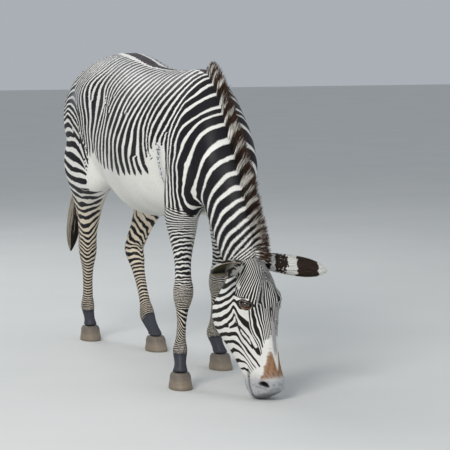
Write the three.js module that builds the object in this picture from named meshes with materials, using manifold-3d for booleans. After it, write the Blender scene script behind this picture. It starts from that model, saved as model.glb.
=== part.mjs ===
// A Grevy's zebra grazing, life size, as a still model. Millimetres, +Z up.
// Design frame: +X to the animal's front, +Y to its left, origin on the ground under the withers.
// At the end the whole group is shifted so that its origin is the centre of its box's underside.
import * as THREE from "three";
import { mergeVertices } from "three/addons/utils/BufferGeometryUtils.js";
import Module from "manifold-3d";

const wasm = await Module();
wasm.setup();

// ---------- driving dimensions ----------
const WITHERS = 1450; // height of the back over the fore legs
const CROUP = 1522; // highest point of the rump
const BELLY = 737; // lowest point of the barrel
const BARREL_HALF = 295; // half-width of the barrel
const RUMP_HALF = 286; // half-width over the hip joints
const HEAD_LENGTH = 620; // poll to lips
const HEAD_TURN = 21; // degrees, head turned to the animal's left
const HEAD_TILT = 12; // degrees, muzzle ahead of the poll
const EYE_RADIUS = 20.5;
const EYE_SPREAD = 98; // eye centre from the head's middle plane
const HOOF_HEIGHT = 75;
const MANE_HEIGHT = 98; // hair standing over the crest at mid neck
const MANE_LEAN = 0.36; // how far the hair leans to the left for each unit of height
const CUT = 0.3; // gap between neighbouring pieces

const vec = (x, y, z) => new THREE.Vector3(x, y, z);
const mix = (a, b, t) => a + (b - a) * t;
const radians = THREE.MathUtils.degToRad;

// ---------- lofts ----------
/**
 * One cross-section of a body part. `a` is its front or top point and `b` its back or lower point;
 * `belt` says where the widest line lies (0 at b, 1 at a); the powers square off the two halves.
 */
function section(a, b, half, belt = 0.5, powerA = 2, powerB = 2) {
  return [...a.toArray(), ...b.toArray(), half, belt, powerA, powerB];
}

/** Smooth rows between hand-placed rows: a Hermite curve through them, `steps` spans for each gap. */
function smoothRows(rows, steps) {
  const middle = (row) => vec((row[0] + row[3]) / 2, (row[1] + row[4]) / 2, (row[2] + row[5]) / 2);
  const at = [0];
  rows.slice(1).forEach((row, i) => at.push(at[i] + middle(row).distanceTo(middle(rows[i])) + 1e-3));
  const slope = (i, k) => (rows[i + 1][k] - rows[i][k]) / (at[i + 1] - at[i]);
  const tangent = (i, k) => {
    if (i === 0) return slope(0, k);
    if (i === rows.length - 1) return slope(i - 1, k);
    const before = at[i] - at[i - 1];
    const after = at[i + 1] - at[i];
    return (slope(i - 1, k) * after + slope(i, k) * before) / (before + after);
  };
  const out = [];
  for (let i = 0; i < rows.length - 1; i += 1) {
    const gap = at[i + 1] - at[i];
    for (let n = 0; n < steps; n += 1) {
      const s = n / steps;
      out.push(
        rows[i].map(
          (value, k) =>
            value * (1 + 2 * s) * (1 - s) ** 2 +
            tangent(i, k) * gap * s * (1 - s) ** 2 +
            rows[i + 1][k] * s * s * (3 - 2 * s) +
            tangent(i + 1, k) * gap * s * s * (s - 1),
        ),
      );
    }
  }
  out.push(rows.at(-1));
  return out;
}

/** A closed skin over the sections, `around` points to each, made larger all round by `grow`. */
function loft(rows, { steps = 2, around = 20, grow = 0 } = {}) {
  const dense = smoothRows(rows, steps);
  const frames = dense.map(([ax, ay, az, bx, by, bz, half, belt, powerA, powerB]) => {
    const a = vec(ax, ay, az);
    const b = vec(bx, by, bz);
    return { a, b, half: Math.max(half, 1) + grow, belt, powerA, powerB, mid: a.clone().lerp(b, 0.5) };
  });
  const positions = [];
  const last = frames.length - 1;
  const centres = [];
  frames.forEach((frame, i) => {
    const run = frames[Math.min(i + 1, last)].mid.clone().sub(frames[Math.max(i - 1, 0)].mid).normalize();
    const up = frame.a.clone().sub(frame.b);
    const height = up.length();
    up.normalize();
    const side = up.clone().cross(run).normalize();
    const end = i === 0 ? -grow : i === last ? grow : 0;
    const centre = frame.b.clone().lerp(frame.a, frame.belt).addScaledVector(run, end);
    centres.push(centre);
    for (let j = 0; j < around; j += 1) {
      const angle = (2 * Math.PI * j) / around;
      const c = Math.cos(angle);
      const s = Math.sin(angle);
      const power = 2 / (s >= 0 ? frame.powerA : frame.powerB);
      const reach = height * (s >= 0 ? 1 - frame.belt : frame.belt) + grow;
      const point = centre
        .clone()
        .addScaledVector(side, Math.sign(c) * Math.abs(c) ** power * frame.half)
        .addScaledVector(up, Math.sign(s) * Math.abs(s) ** power * reach);
      positions.push(...point.toArray());
    }
  });
  const faces = [];
  for (let i = 0; i < last; i += 1) {
    for (let j = 0; j < around; j += 1) {
      const k = (j + 1) % around;
      const [p, q] = [i * around, (i + 1) * around];
      faces.push(p + j, p + k, q + k, p + j, q + k, q + j);
    }
  }
  const first = frames.length * around;
  positions.push(...centres[0].toArray(), ...centres[last].toArray());
  for (let j = 0; j < around; j += 1) {
    const k = (j + 1) % around;
    faces.push(first, k, j, first + 1, last * around + j, last * around + k);
  }
  const geometry = new THREE.BufferGeometry();
  geometry.setAttribute("position", new THREE.Float32BufferAttribute(positions, 3));
  geometry.setIndex(faces);
  return geometry;
}

// ---------- booleans ----------
/** A closed geometry as a manifold solid. */
function solid(geometry) {
  const bare = geometry.clone();
  bare.deleteAttribute("normal");
  bare.deleteAttribute("uv");
  const merged = mergeVertices(bare, 1e-3);
  const vertProperties = new Float32Array(merged.attributes.position.array);
  const triVerts = new Uint32Array(merged.index.array);
  return new wasm.Manifold(new wasm.Mesh({ numProp: 3, vertProperties, triVerts }));
}

/** The geometry of a solid's largest connected body. */
function largestBody(made) {
  const mesh = made.getMesh();
  const parent = Array.from({ length: mesh.vertProperties.length / 3 }, (_, i) => i);
  const find = (i) => {
    while (parent[i] !== i) {
      parent[i] = parent[parent[i]];
      i = parent[i];
    }
    return i;
  };
  const tris = mesh.triVerts;
  for (let i = 0; i < tris.length; i += 3) {
    parent[find(tris[i])] = find(tris[i + 1]);
    parent[find(tris[i + 1])] = find(tris[i + 2]);
  }
  const count = new Map();
  for (let i = 0; i < tris.length; i += 3) count.set(find(tris[i]), (count.get(find(tris[i])) ?? 0) + 1);
  const main = [...count.entries()].sort((p, q) => q[1] - p[1])[0][0];
  const kept = [];
  for (let i = 0; i < tris.length; i += 3) {
    if (find(tris[i]) === main) kept.push(tris[i], tris[i + 1], tris[i + 2]);
  }
  const geometry = new THREE.BufferGeometry();
  geometry.setAttribute("position", new THREE.BufferAttribute(new Float32Array(mesh.vertProperties), 3));
  geometry.setIndex(kept);
  return mergeVertices(geometry, 1e-3);
}

/** `geometry` with every cutter taken out of it, as one body. */
function trimmed(geometry, cutters) {
  return largestBody(cutters.reduce((made, cutter) => made.subtract(solid(cutter)), solid(geometry)));
}

// ---------- trunk ----------
// x, top, underside, half-width, belt, squareness of the upper half
const TRUNK = {
  tailEnd: [-1398, 1195, 1085, 45, 0.5, 2],
  pointOfButtock: [-1374, 1285, 1000, 142, 0.5, 2],
  dock: [-1305, 1388, 930, 232, 0.52, 2.1],
  hip: [-1180, CROUP - 48, 880, RUMP_HALF, 0.55, 2.2],
  croup: [-1030, CROUP, 855, RUMP_HALF - 4, 0.58, 2.1],
  loin: [-860, CROUP - 12, 790, RUMP_HALF - 14, 0.55, 2],
  flank: [-640, WITHERS + 18, BELLY - 8, BARREL_HALF - 10, 0.5, 2],
  back: [-420, WITHERS + 2, BELLY, BARREL_HALF, 0.48, 2],
  ribs: [-220, WITHERS + 2, BELLY + 18, BARREL_HALF - 25, 0.48, 1.9],
  withers: [0, WITHERS, BELLY + 48, 205, 0.45, 1.75],
  shoulder: [110, WITHERS - 65, BELLY + 65, 175, 0.45, 1.8],
  breast: [220, WITHERS - 200, BELLY + 103, 150, 0.45, 2],
  breastFront: [300, WITHERS - 350, BELLY + 163, 100, 0.5, 2],
  breastEnd: [335, 1020, 970, 30, 0.5, 2],
};
const trunkRows = Object.values(TRUNK).map(([x, top, low, half, belt, power]) =>
  section(vec(x, 0, top), vec(x, 0, low), half, belt, power, 2.15),
);
const trunkShape = (grow) => loft(trunkRows, { steps: 2, around: 28, grow });

// ---------- neck ----------
// crest point, throat point, half-width
const NECK = {
  inWithers: [vec(-160, 0, 1440), vec(80, 0, 900), 150],
  withers: [vec(0, 0, WITHERS - 5), vec(140, 0, 840), 160],
  base: [vec(120, -2, 1365), vec(176, 0, 800), 150],
  lower: [vec(225, -4, 1235), vec(184, 0, 752), 136],
  middle: [vec(315, 3, 1090), vec(190, 3, 705), 122],
  upper: [vec(385, 12, 940), vec(200, 6, 660), 110],
  nape: [vec(435, 24, 800), vec(222, 10, 612), 100],
  throat: [vec(465, 36, 690), vec(250, 18, 568), 92],
  poll: [vec(470, 42, 632), vec(285, 25, 530), 78],
};
const neckRows = Object.values(NECK).map(([a, b, half]) => section(a, b, half, 0.48, 1.8, 2));
const neckShape = (grow) => loft(neckRows, { steps: 2, around: 20, grow });

// ---------- head ----------
const POLL = vec(452, 30, 625);
const turn = radians(HEAD_TURN);
const tilt = radians(HEAD_TILT);
const headDown = vec(Math.sin(tilt) * Math.cos(turn), Math.sin(tilt) * Math.sin(turn), -Math.cos(tilt));
const headOut = vec(Math.cos(tilt) * Math.cos(turn), Math.cos(tilt) * Math.sin(turn), Math.sin(tilt));
const headLeft = vec(-Math.sin(turn), Math.cos(turn), 0);

/** The point `down` from the poll to the lips, `out` to the face's front, `left` to the animal's left. */
const onHead = (down, out, left = 0) =>
  POLL.clone().addScaledVector(headDown, down).addScaledVector(headOut, out).addScaledVector(headLeft, left);

// down (of the head's length), face line, jaw line, half-width, belt, squareness of the face and of the jaw
const HEAD = {
  nape: [-0.04, -5, -50, 20, 0.5, 2, 2],
  poll: [-0.016, 15, -88, 52, 0.5, 2, 2],
  brow: [0.048, 35, -126, 75, 0.5, 2, 2],
  temple: [0.128, 52, -168, 92, 0.55, 2.2, 2.4],
  forehead: [0.224, 60, -214, 113, 0.6, 2.6, 3],
  orbit: [0.305, 62, -250, 118, 0.6, 2.8, 3.4],
  cheek: [0.4, 57, -263, 107, 0.6, 2.5, 3.6],
  jaw: [0.496, 53, -248, 93, 0.55, 2.4, 3.2],
  bars: [0.592, 49, -218, 78, 0.5, 2.3, 2.8],
  bridge: [0.704, 45, -186, 67, 0.5, 2.3, 2.6],
  chinGroove: [0.8, 45, -160, 65, 0.5, 2.3, 2.4],
  nostril: [0.88, 46, -144, 70, 0.5, 2.4, 2.3],
  lip: [0.942, 38, -134, 68, 0.5, 2.4, 2.3],
  lipEdge: [0.98, 12, -114, 54, 0.5, 2.2, 2.2],
  mouth: [0.996, -22, -84, 20, 0.5, 2, 2],
};
const headRows = Object.values(HEAD).map(([down, face, jaw, half, belt, powerA, powerB]) =>
  section(onHead(down * HEAD_LENGTH, face), onHead(down * HEAD_LENGTH, jaw), half, belt, powerA, powerB),
);
const headShape = (grow) => loft(headRows, { steps: 2, around: 22, grow });

const eyeCentre = (side) => onHead(0.318 * HEAD_LENGTH, 2, side * EYE_SPREAD);
function eyeShape(side, grow) {
  const ball = new THREE.SphereGeometry(EYE_RADIUS + grow, 14, 10);
  return ball.translate(...eyeCentre(side).toArray());
}

// ---------- ears ----------
// distance along the ear (0-1), half-width of the leaf, depth of the cup
const EAR = {
  root: [0, 36, 37],
  neck: [0.15, 43, 42],
  cup: [0.35, 47, 40],
  broad: [0.57, 48, 34],
  shoulder: [0.76, 42, 25],
  near: [0.91, 27, 15],
  tip: [1, 8, 4],
};
const EAR_WALL = 8;
// root, tip, and the way the cup opens
const EARS = {
  left: { root: onHead(10, -24, 60), reach: vec(92, 287, -52), opens: vec(-0.85, 0.38, -0.36) },
  right: { root: onHead(36, -36, -56), reach: vec(139, -208, 20), opens: vec(0.62, 0.36, -0.66) },
};
const EAR_CUP_FROM = 0.2;

/** An ear's leaf: the outer shell, or the hollow that leaves a thin wall behind and beside it. */
function earShape(side, hollow) {
  const { root, reach: along, opens } = EARS[side];
  const out = opens.clone().addScaledVector(along, -opens.dot(along) / along.lengthSq()).normalize();
  const wall = hollow ? EAR_WALL : 0;
  const rows = Object.values(EAR)
    .filter(([at]) => !hollow || (at > EAR_CUP_FROM && at < 1))
    .map(([at, half, depth]) => {
      const centre = root.clone().addScaledVector(along, at);
      const front = hollow ? depth : depth * mix(0.8, 0.1, Math.min(1, at / 0.5));
      const back = Math.max(depth - wall, 3);
      const a = centre.clone().addScaledVector(out, front);
      const b = centre.clone().addScaledVector(out, -back);
      return section(a, b, Math.max(half - wall, 5), back / (front + back), 2, 2.2);
    });
  return loft(rows, { steps: 1, around: 14 });
}

// ---------- limbs ----------
// bone (0 upper, 1 middle, 2 cannon, 3 pastern), part of it, reach ahead of it, reach behind it, half-width
const FORE_PROFILE = {
  armTop: [0, 0, 90, 90, 40],
  arm: [0, 0.22, 130, 130, 78],
  armLow: [0, 0.55, 136, 132, 92],
  elbowTop: [0, 0.82, 118, 122, 88],
  elbow: [1, 0, 100, 102, 78],
  forearmTop: [1, 0.18, 80, 84, 67],
  forearm: [1, 0.4, 60, 62, 52],
  forearmLow: [1, 0.62, 45, 46, 40],
  kneeTop: [1, 0.85, 44, 42, 41],
  knee: [2, 0, 48, 47, 50],
  kneeLow: [2, 0.15, 43, 46, 46],
  cannonTop: [2, 0.32, 32, 38, 32],
  cannon: [2, 0.58, 30, 34, 24.5],
  cannonLow: [2, 0.82, 33, 36, 26],
  fetlock: [3, 0, 42, 50, 36],
  pasternTop: [3, 0.35, 39, 44, 31],
  pastern: [3, 0.7, 40, 39, 29],
  coronet: [3, 1, 48, 44, 43],
};
const HIND_PROFILE = {
  hip: [0, 0, 130, 110, 50],
  rump: [0, 0.25, 215, 205, 102],
  thigh: [0, 0.55, 255, 235, 120],
  stifle: [1, 0, 215, 225, 113],
  gaskinTop: [1, 0.15, 155, 192, 100],
  gaskinHigh: [1, 0.32, 108, 145, 80],
  gaskin: [1, 0.5, 85, 114, 63],
  gaskinLow: [1, 0.72, 64, 86, 49],
  hockTop: [1, 0.9, 56, 84, 45],
  hock: [2, 0, 54, 72, 48],
  hockLow: [2, 0.16, 48, 62, 43],
  cannonTop: [2, 0.32, 38, 49, 33],
  cannon: [2, 0.6, 33, 40, 27],
  cannonLow: [2, 0.84, 36, 43, 29],
  fetlock: [3, 0, 44, 58, 37],
  pasternTop: [3, 0.35, 38, 52, 31],
  pastern: [3, 0.7, 38, 38, 30],
  coronet: [3, 1, 47, 43, 43],
};
// the limb's joints from its top to the coronet, and how far the hoof turns out, in degrees
const LIMBS = {
  foreleg_right: {
    profile: FORE_PROFILE,
    joints: [vec(62, -108, 1120), vec(58, -156, 790), vec(96, -165, 450), vec(85, -177, 172), vec(120, -191, HOOF_HEIGHT)],
    toeOut: -8,
  },
  foreleg_left: {
    profile: FORE_PROFILE,
    joints: [vec(-28, 108, 1120), vec(-125, 137, 790), vec(-236, 158, 450), vec(-335, 176, 172), vec(-290, 190, HOOF_HEIGHT)],
    toeOut: 5,
  },
  hindleg_right: {
    profile: HIND_PROFILE,
    joints: [vec(-1080, -120, 1220), vec(-1130, -170, 910), vec(-1325, -110, 505), vec(-1412, -80, 178), vec(-1398, -72, HOOF_HEIGHT)],
    toeOut: -5,
  },
  hindleg_left: {
    profile: HIND_PROFILE,
    joints: [vec(-1020, 120, 1220), vec(-990, 165, 905), vec(-1208, 106, 500), vec(-1046, 112, 178), vec(-930, 112, HOOF_HEIGHT)],
    toeOut: 5,
  },
};

/** The way ahead at a station of a limb: level with the toe's heading, square to the bone's run. */
function limbAhead(joints, bone, t, toeOut) {
  const run = (i) => joints[i + 1].clone().sub(joints[i]).normalize();
  const here = run(bone);
  const before = run(Math.max(bone - 1, 0));
  const after = run(Math.min(bone + 1, joints.length - 2));
  const along = here
    .clone()
    .addScaledVector(before, Math.max(0, 0.5 - t))
    .addScaledVector(after, Math.max(0, t - 0.5))
    .normalize();
  const heading = radians(toeOut * Math.min(1, (bone + t) / 3));
  const ahead = vec(Math.cos(heading), Math.sin(heading), 0);
  return ahead.addScaledVector(along, -ahead.dot(along)).normalize();
}

/** The sections of a limb; `level` stations lie in a horizontal plane, as the coronet does. */
function limbRows({ profile, joints, toeOut }) {
  return Object.values(profile).map(([bone, t, front, back, half]) => {
    const centre = joints[bone].clone().lerp(joints[bone + 1], t);
    const flat = bone === 3 && t === 1;
    const ahead = flat
      ? vec(Math.cos(radians(toeOut)), Math.sin(radians(toeOut)), 0)
      : limbAhead(joints, bone, t, toeOut);
    const a = centre.clone().addScaledVector(ahead, front);
    const b = centre.clone().addScaledVector(ahead, -back);
    return section(a, b, half, back / (front + back), 2.2, 2.2);
  });
}
const limbShape = (limb) => loft(limbRows(limb), { steps: 1, around: 14 });

// ---------- hooves ----------
// height, reach ahead of the coronet's centre, reach behind it, half-width
const HOOF = {
  top: [HOOF_HEIGHT - CUT, 47, 43, 42],
  wall: [HOOF_HEIGHT * 0.5, 63, 46, 49],
  sole: [0, 80, 48, 54],
};
function hoofShape({ joints, toeOut }, grow = 0) {
  const coronet = joints.at(-1);
  const heading = vec(Math.cos(radians(toeOut)), Math.sin(radians(toeOut)), 0);
  const rows = Object.values(HOOF).map(([height, front, back, half]) => {
    const centre = vec(coronet.x, coronet.y, height);
    const a = centre.clone().addScaledVector(heading, front);
    const b = centre.clone().addScaledVector(heading, -back);
    return section(a, b, half, back / (front + back), 2.1, 2.6);
  });
  return loft(rows, { steps: 1, around: 20, grow });
}

// ---------- mane and tail ----------
// part of the mane's height standing over each section of the neck, its base half-width
const MANE = {
  withers: [0.62, 17],
  base: [0.92, 22],
  lower: [1, 24],
  middle: [1, 25],
  upper: [0.98, 25],
  nape: [0.9, 24],
  throat: [0.88, 22],
  poll: [0.7, 18],
};
const MANE_ROOT = 30; // depth of the mane's foot inside the neck
const maneRows = Object.entries(MANE).map(([name, [height, half]]) => {
  const [crest, throat] = NECK[name];
  const out = crest.clone().sub(throat).normalize();
  const a = crest.clone().addScaledVector(out, height * MANE_HEIGHT);
  a.y += height * MANE_HEIGHT * MANE_LEAN;
  const b = crest.clone().addScaledVector(out, -MANE_ROOT);
  return section(a, b, half, 0.3, 1.25, 2);
});

// centre, half-thickness fore and aft, half-width
const TAIL = {
  root: [vec(-1330, 0, 1345), 34, 40],
  dock: [vec(-1412, -4, 1290), 30, 33],
  upper: [vec(-1452, -22, 1160), 24, 25],
  lower: [vec(-1478, -52, 990), 21, 22],
  tuftTop: [vec(-1492, -80, 860), 24, 27],
};
const TUFT = {
  top: [vec(-1492, -80, 858), 24, 27],
  full: [vec(-1500, -104, 730), 36, 42],
  low: [vec(-1506, -124, 600), 34, 40],
  end: [vec(-1508, -136, 500), 20, 24],
  tip: [vec(-1508, -140, 462), 5, 6],
};
const hangingRows = (table) =>
  Object.values(table).map(([centre, deep, half]) =>
    section(centre.clone().add(vec(deep, 0, 0)), centre.clone().add(vec(-deep, 0, 0)), half),
  );

// ---------- nodes ----------
const FINISHES = {
  coat: { color: "#bdb6ab", roughness: 0.75, metalness: 0 },
  mane: { color: "#4a3326", roughness: 0.85, metalness: 0 },
  tail: { color: "#3a2e28", roughness: 0.85, metalness: 0 },
  hoof: { color: "#8f7f6c", roughness: 0.6, metalness: 0 },
  eye: { color: "#1c120d", roughness: 0.1, metalness: 0 },
};
const zebra = new THREE.Group();

function addNode(name, finish, geometry) {
  const mesh = new THREE.Mesh(geometry, new THREE.MeshStandardMaterial(FINISHES[finish]));
  mesh.name = name;
  zebra.add(mesh);
}

const sides = { left: 1, right: -1 };
const eyeHoles = Object.values(sides).map((side) => eyeShape(side, CUT));
const trunkCut = trunkShape(CUT);
const neckCut = neckShape(CUT);
const headCut = headShape(CUT);

addNode("trunk", "coat", trunkShape(0));
addNode("neck", "coat", trimmed(neckShape(0), [trunkCut, headCut]));
addNode("head", "coat", trimmed(headShape(0), eyeHoles));
for (const [side, sign] of Object.entries(sides)) {
  addNode(`eye_${side}`, "eye", eyeShape(sign, 0));
  addNode(`ear_${side}`, "coat", trimmed(earShape(side, false), [earShape(side, true), headCut, neckCut]));
}
for (const [name, limb] of Object.entries(LIMBS)) {
  addNode(name, "coat", trimmed(limbShape(limb), [trunkCut, neckCut, hoofShape(limb, CUT)]));
  addNode(name.replace("leg", "hoof"), "hoof", hoofShape(limb));
}
addNode("mane", "mane", trimmed(loft(maneRows, { steps: 2, around: 10 }), [trunkCut, neckCut, headCut]));
addNode("tail", "coat", trimmed(loft(hangingRows(TAIL), { steps: 2, around: 12 }), [trunkCut]));
addNode("tail_tuft", "tail", trimmed(loft(hangingRows(TUFT), { steps: 2, around: 12 }), [
  loft(hangingRows(TAIL), { steps: 2, around: 12, grow: CUT }),
]));

const box = new THREE.Box3().setFromObject(zebra);
const middle = box.getCenter(vec(0, 0, 0));
zebra.position.set(-middle.x, -middle.y, -box.min.z);

export default zebra;
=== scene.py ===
"""A Grevy's zebra grazing, life size, as a still model such as a museum shows.

Shapes are worked out in millimetres in the animal's own frame: +X to its front, +Y to its
left, origin on the ground under the withers. A mesh is moved to the part's frame, in metres,
as it is made.
"""

from __future__ import annotations

import logging
import math
from dataclasses import dataclass, field
from enum import Enum

import bmesh
import bpy
import numpy as np
from mathutils import Matrix

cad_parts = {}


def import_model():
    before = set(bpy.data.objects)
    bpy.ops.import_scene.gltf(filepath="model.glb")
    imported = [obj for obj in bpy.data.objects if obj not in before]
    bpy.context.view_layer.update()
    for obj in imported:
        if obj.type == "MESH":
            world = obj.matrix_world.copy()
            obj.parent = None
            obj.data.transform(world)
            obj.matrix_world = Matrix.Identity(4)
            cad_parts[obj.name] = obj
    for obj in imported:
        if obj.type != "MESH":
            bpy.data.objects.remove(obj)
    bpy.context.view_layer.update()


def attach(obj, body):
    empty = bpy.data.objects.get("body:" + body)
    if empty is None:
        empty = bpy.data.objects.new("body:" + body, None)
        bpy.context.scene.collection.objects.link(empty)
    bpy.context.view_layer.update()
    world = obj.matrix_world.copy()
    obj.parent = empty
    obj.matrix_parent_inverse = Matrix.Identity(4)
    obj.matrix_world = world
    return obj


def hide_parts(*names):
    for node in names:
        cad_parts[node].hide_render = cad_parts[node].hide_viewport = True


LOG = logging.getLogger("zebra")
ORIGIN = np.array([465.81, -36.20, 0.0])  # the design origin in the part's frame, mm
COAT_DEPTH = 4.0  # how far the skin lies inside the solids
SEED = 1450
MM = 1000.0  # mm in a metre
BAR = 1.3  # the height of the bar that a stripe's wave passes where the hair is white
Colour = tuple[float, float, float]
Vector = tuple[float, float, float]
Socket = bpy.types.NodeSocket

# ---------------------------------------------------------------- numbers


def vec(x: float, y: float, z: float) -> np.ndarray:
    """A point or direction in the animal's frame."""
    return np.array([x, y, z], float)


def unit(rows: np.ndarray) -> np.ndarray:
    """Rows (or one row) made a length of one."""
    return rows / np.maximum(np.linalg.norm(rows, axis=-1, keepdims=True), 1e-9)


def ramp(low: float, high: float, value: np.ndarray) -> np.ndarray:
    """Smooth step: 0 below low, 1 above high, 3t^2 - 2t^3 between; low may be above high."""
    t = np.clip((np.asarray(value, float) - low) / (high - low), 0.0, 1.0)
    return t * t * (3.0 - 2.0 * t)


def bump(value: np.ndarray, centre: float, width: float) -> np.ndarray:
    """A bell, 1 at centre and exp(-1) at width from it."""
    return np.exp(-(((np.asarray(value, float) - centre) / width) ** 2))


def curve(value: np.ndarray, points: dict[float, float]) -> np.ndarray:
    """A line through (value, result) pairs, level beyond the ends."""
    return np.interp(value, list(points), list(points.values()))


def smooth_curve(value: np.ndarray, points: dict[float, float]) -> np.ndarray:
    """A cubic through (value, result) pairs with the slopes of their neighbours' chords."""
    at = np.array(list(points), float)
    rows = np.array(list(points.values()), float)[:, None]
    return hermite(rows, at, np.clip(value, at[0], at[-1]))[:, 0]


def hermite(rows: np.ndarray, at: np.ndarray, where: np.ndarray) -> np.ndarray:
    """Smooth rows between given rows: a cubic through them, its slopes weighed by the gaps.

    Args:
        rows: the given rows, one for each place.
        at: their places, rising.
        where: the places wanted.

    Returns:
        One row for each place wanted.
    """
    gap = np.diff(at)
    chord = np.diff(rows, axis=0) / gap[:, None]
    slope = np.empty_like(rows)
    slope[0], slope[-1] = chord[0], chord[-1]
    slope[1:-1] = (chord[:-1] * gap[1:, None] + chord[1:] * gap[:-1, None]) / (gap[1:] + gap[:-1])[:, None]
    k = np.clip(np.searchsorted(at, where, side="right") - 1, 0, len(gap) - 1)
    h = gap[k][:, None]
    s = (where - at[k])[:, None] / h
    ends = rows[k] * (1 + 2 * s) * (1 - s) ** 2 + rows[k + 1] * s * s * (3 - 2 * s)
    return ends + slope[k] * h * s * (1 - s) ** 2 + slope[k + 1] * h * s * s * (s - 1)


def signed_power(wave: np.ndarray, power: np.ndarray) -> np.ndarray:
    """A sine or cosine raised to a power, with its sign kept."""
    return np.sign(wave) * np.abs(wave) ** power


def tube(rings: int, around: int, turned: bool = False) -> tuple[np.ndarray, np.ndarray]:
    """The faces of a closed tube: rings of points, then its first and its last end point.

    Args:
        rings: how many rings there are.
        around: how many points each has.
        turned: whether they run the other way round.

    Returns:
        The quads between the rings and the triangles at the ends.
    """
    j = np.arange(around)
    k = (j + 1) % around
    i = np.arange(rings - 1)[:, None] * around
    quads = np.stack([i + j, i + k, i + around + k, i + around + j], -1).reshape(-1, 4)
    first, last = rings * around, (rings - 1) * around
    near = np.stack([np.full(around, first), k, j], 1)
    far = np.stack([np.full(around, first + 1), last + j, last + k], 1)
    ends = np.concatenate([near, far])
    return (quads[:, [0, 3, 2, 1]], ends[:, [0, 2, 1]]) if turned else (quads, ends)


def as_triangles(quads: np.ndarray, ends: np.ndarray) -> np.ndarray:
    """Quads cut in two, with triangles after them."""
    return np.concatenate([quads[:, [0, 1, 2]], quads[:, [0, 2, 3]], ends])


def as_rows(quads: np.ndarray, ends: np.ndarray) -> np.ndarray:
    """Quads, and triangles filled up with -1, as rows of one length."""
    return np.concatenate([quads, np.pad(ends, ((0, 0), (0, 1)), constant_values=-1)])


# ---------------------------------------------------------------- lofts


def section(
    a: np.ndarray, b: np.ndarray, half: float, belt: float = 0.5, over: float = 2.0, under: float = 2.0
) -> np.ndarray:
    """One cross-section: a is its front or top point, b its back or lower point.

    Args:
        a: front or top point.
        b: back or lower point.
        half: half-width.
        belt: where the widest line lies, 0 at b and 1 at a.
        over: power of the half towards a; 2 is round, more is squarer.
        under: power of the half towards b.
    """
    return np.concatenate([a, b, [half, belt, over, under]])


@dataclass
class Place:
    """Where points lie in a loft.

    station counts sections from 0; side and up are in the section, 1 at its outline; ratio is
    0 on the axis and 1 on the skin; gap is the distance from the skin, below 0 inside.
    """

    station: np.ndarray
    side: np.ndarray
    up: np.ndarray
    ratio: np.ndarray
    gap: np.ndarray

    @property
    def angle(self) -> np.ndarray:
        """The angle in the section, from its side towards its top."""
        return np.arctan2(self.up, self.side)


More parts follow.
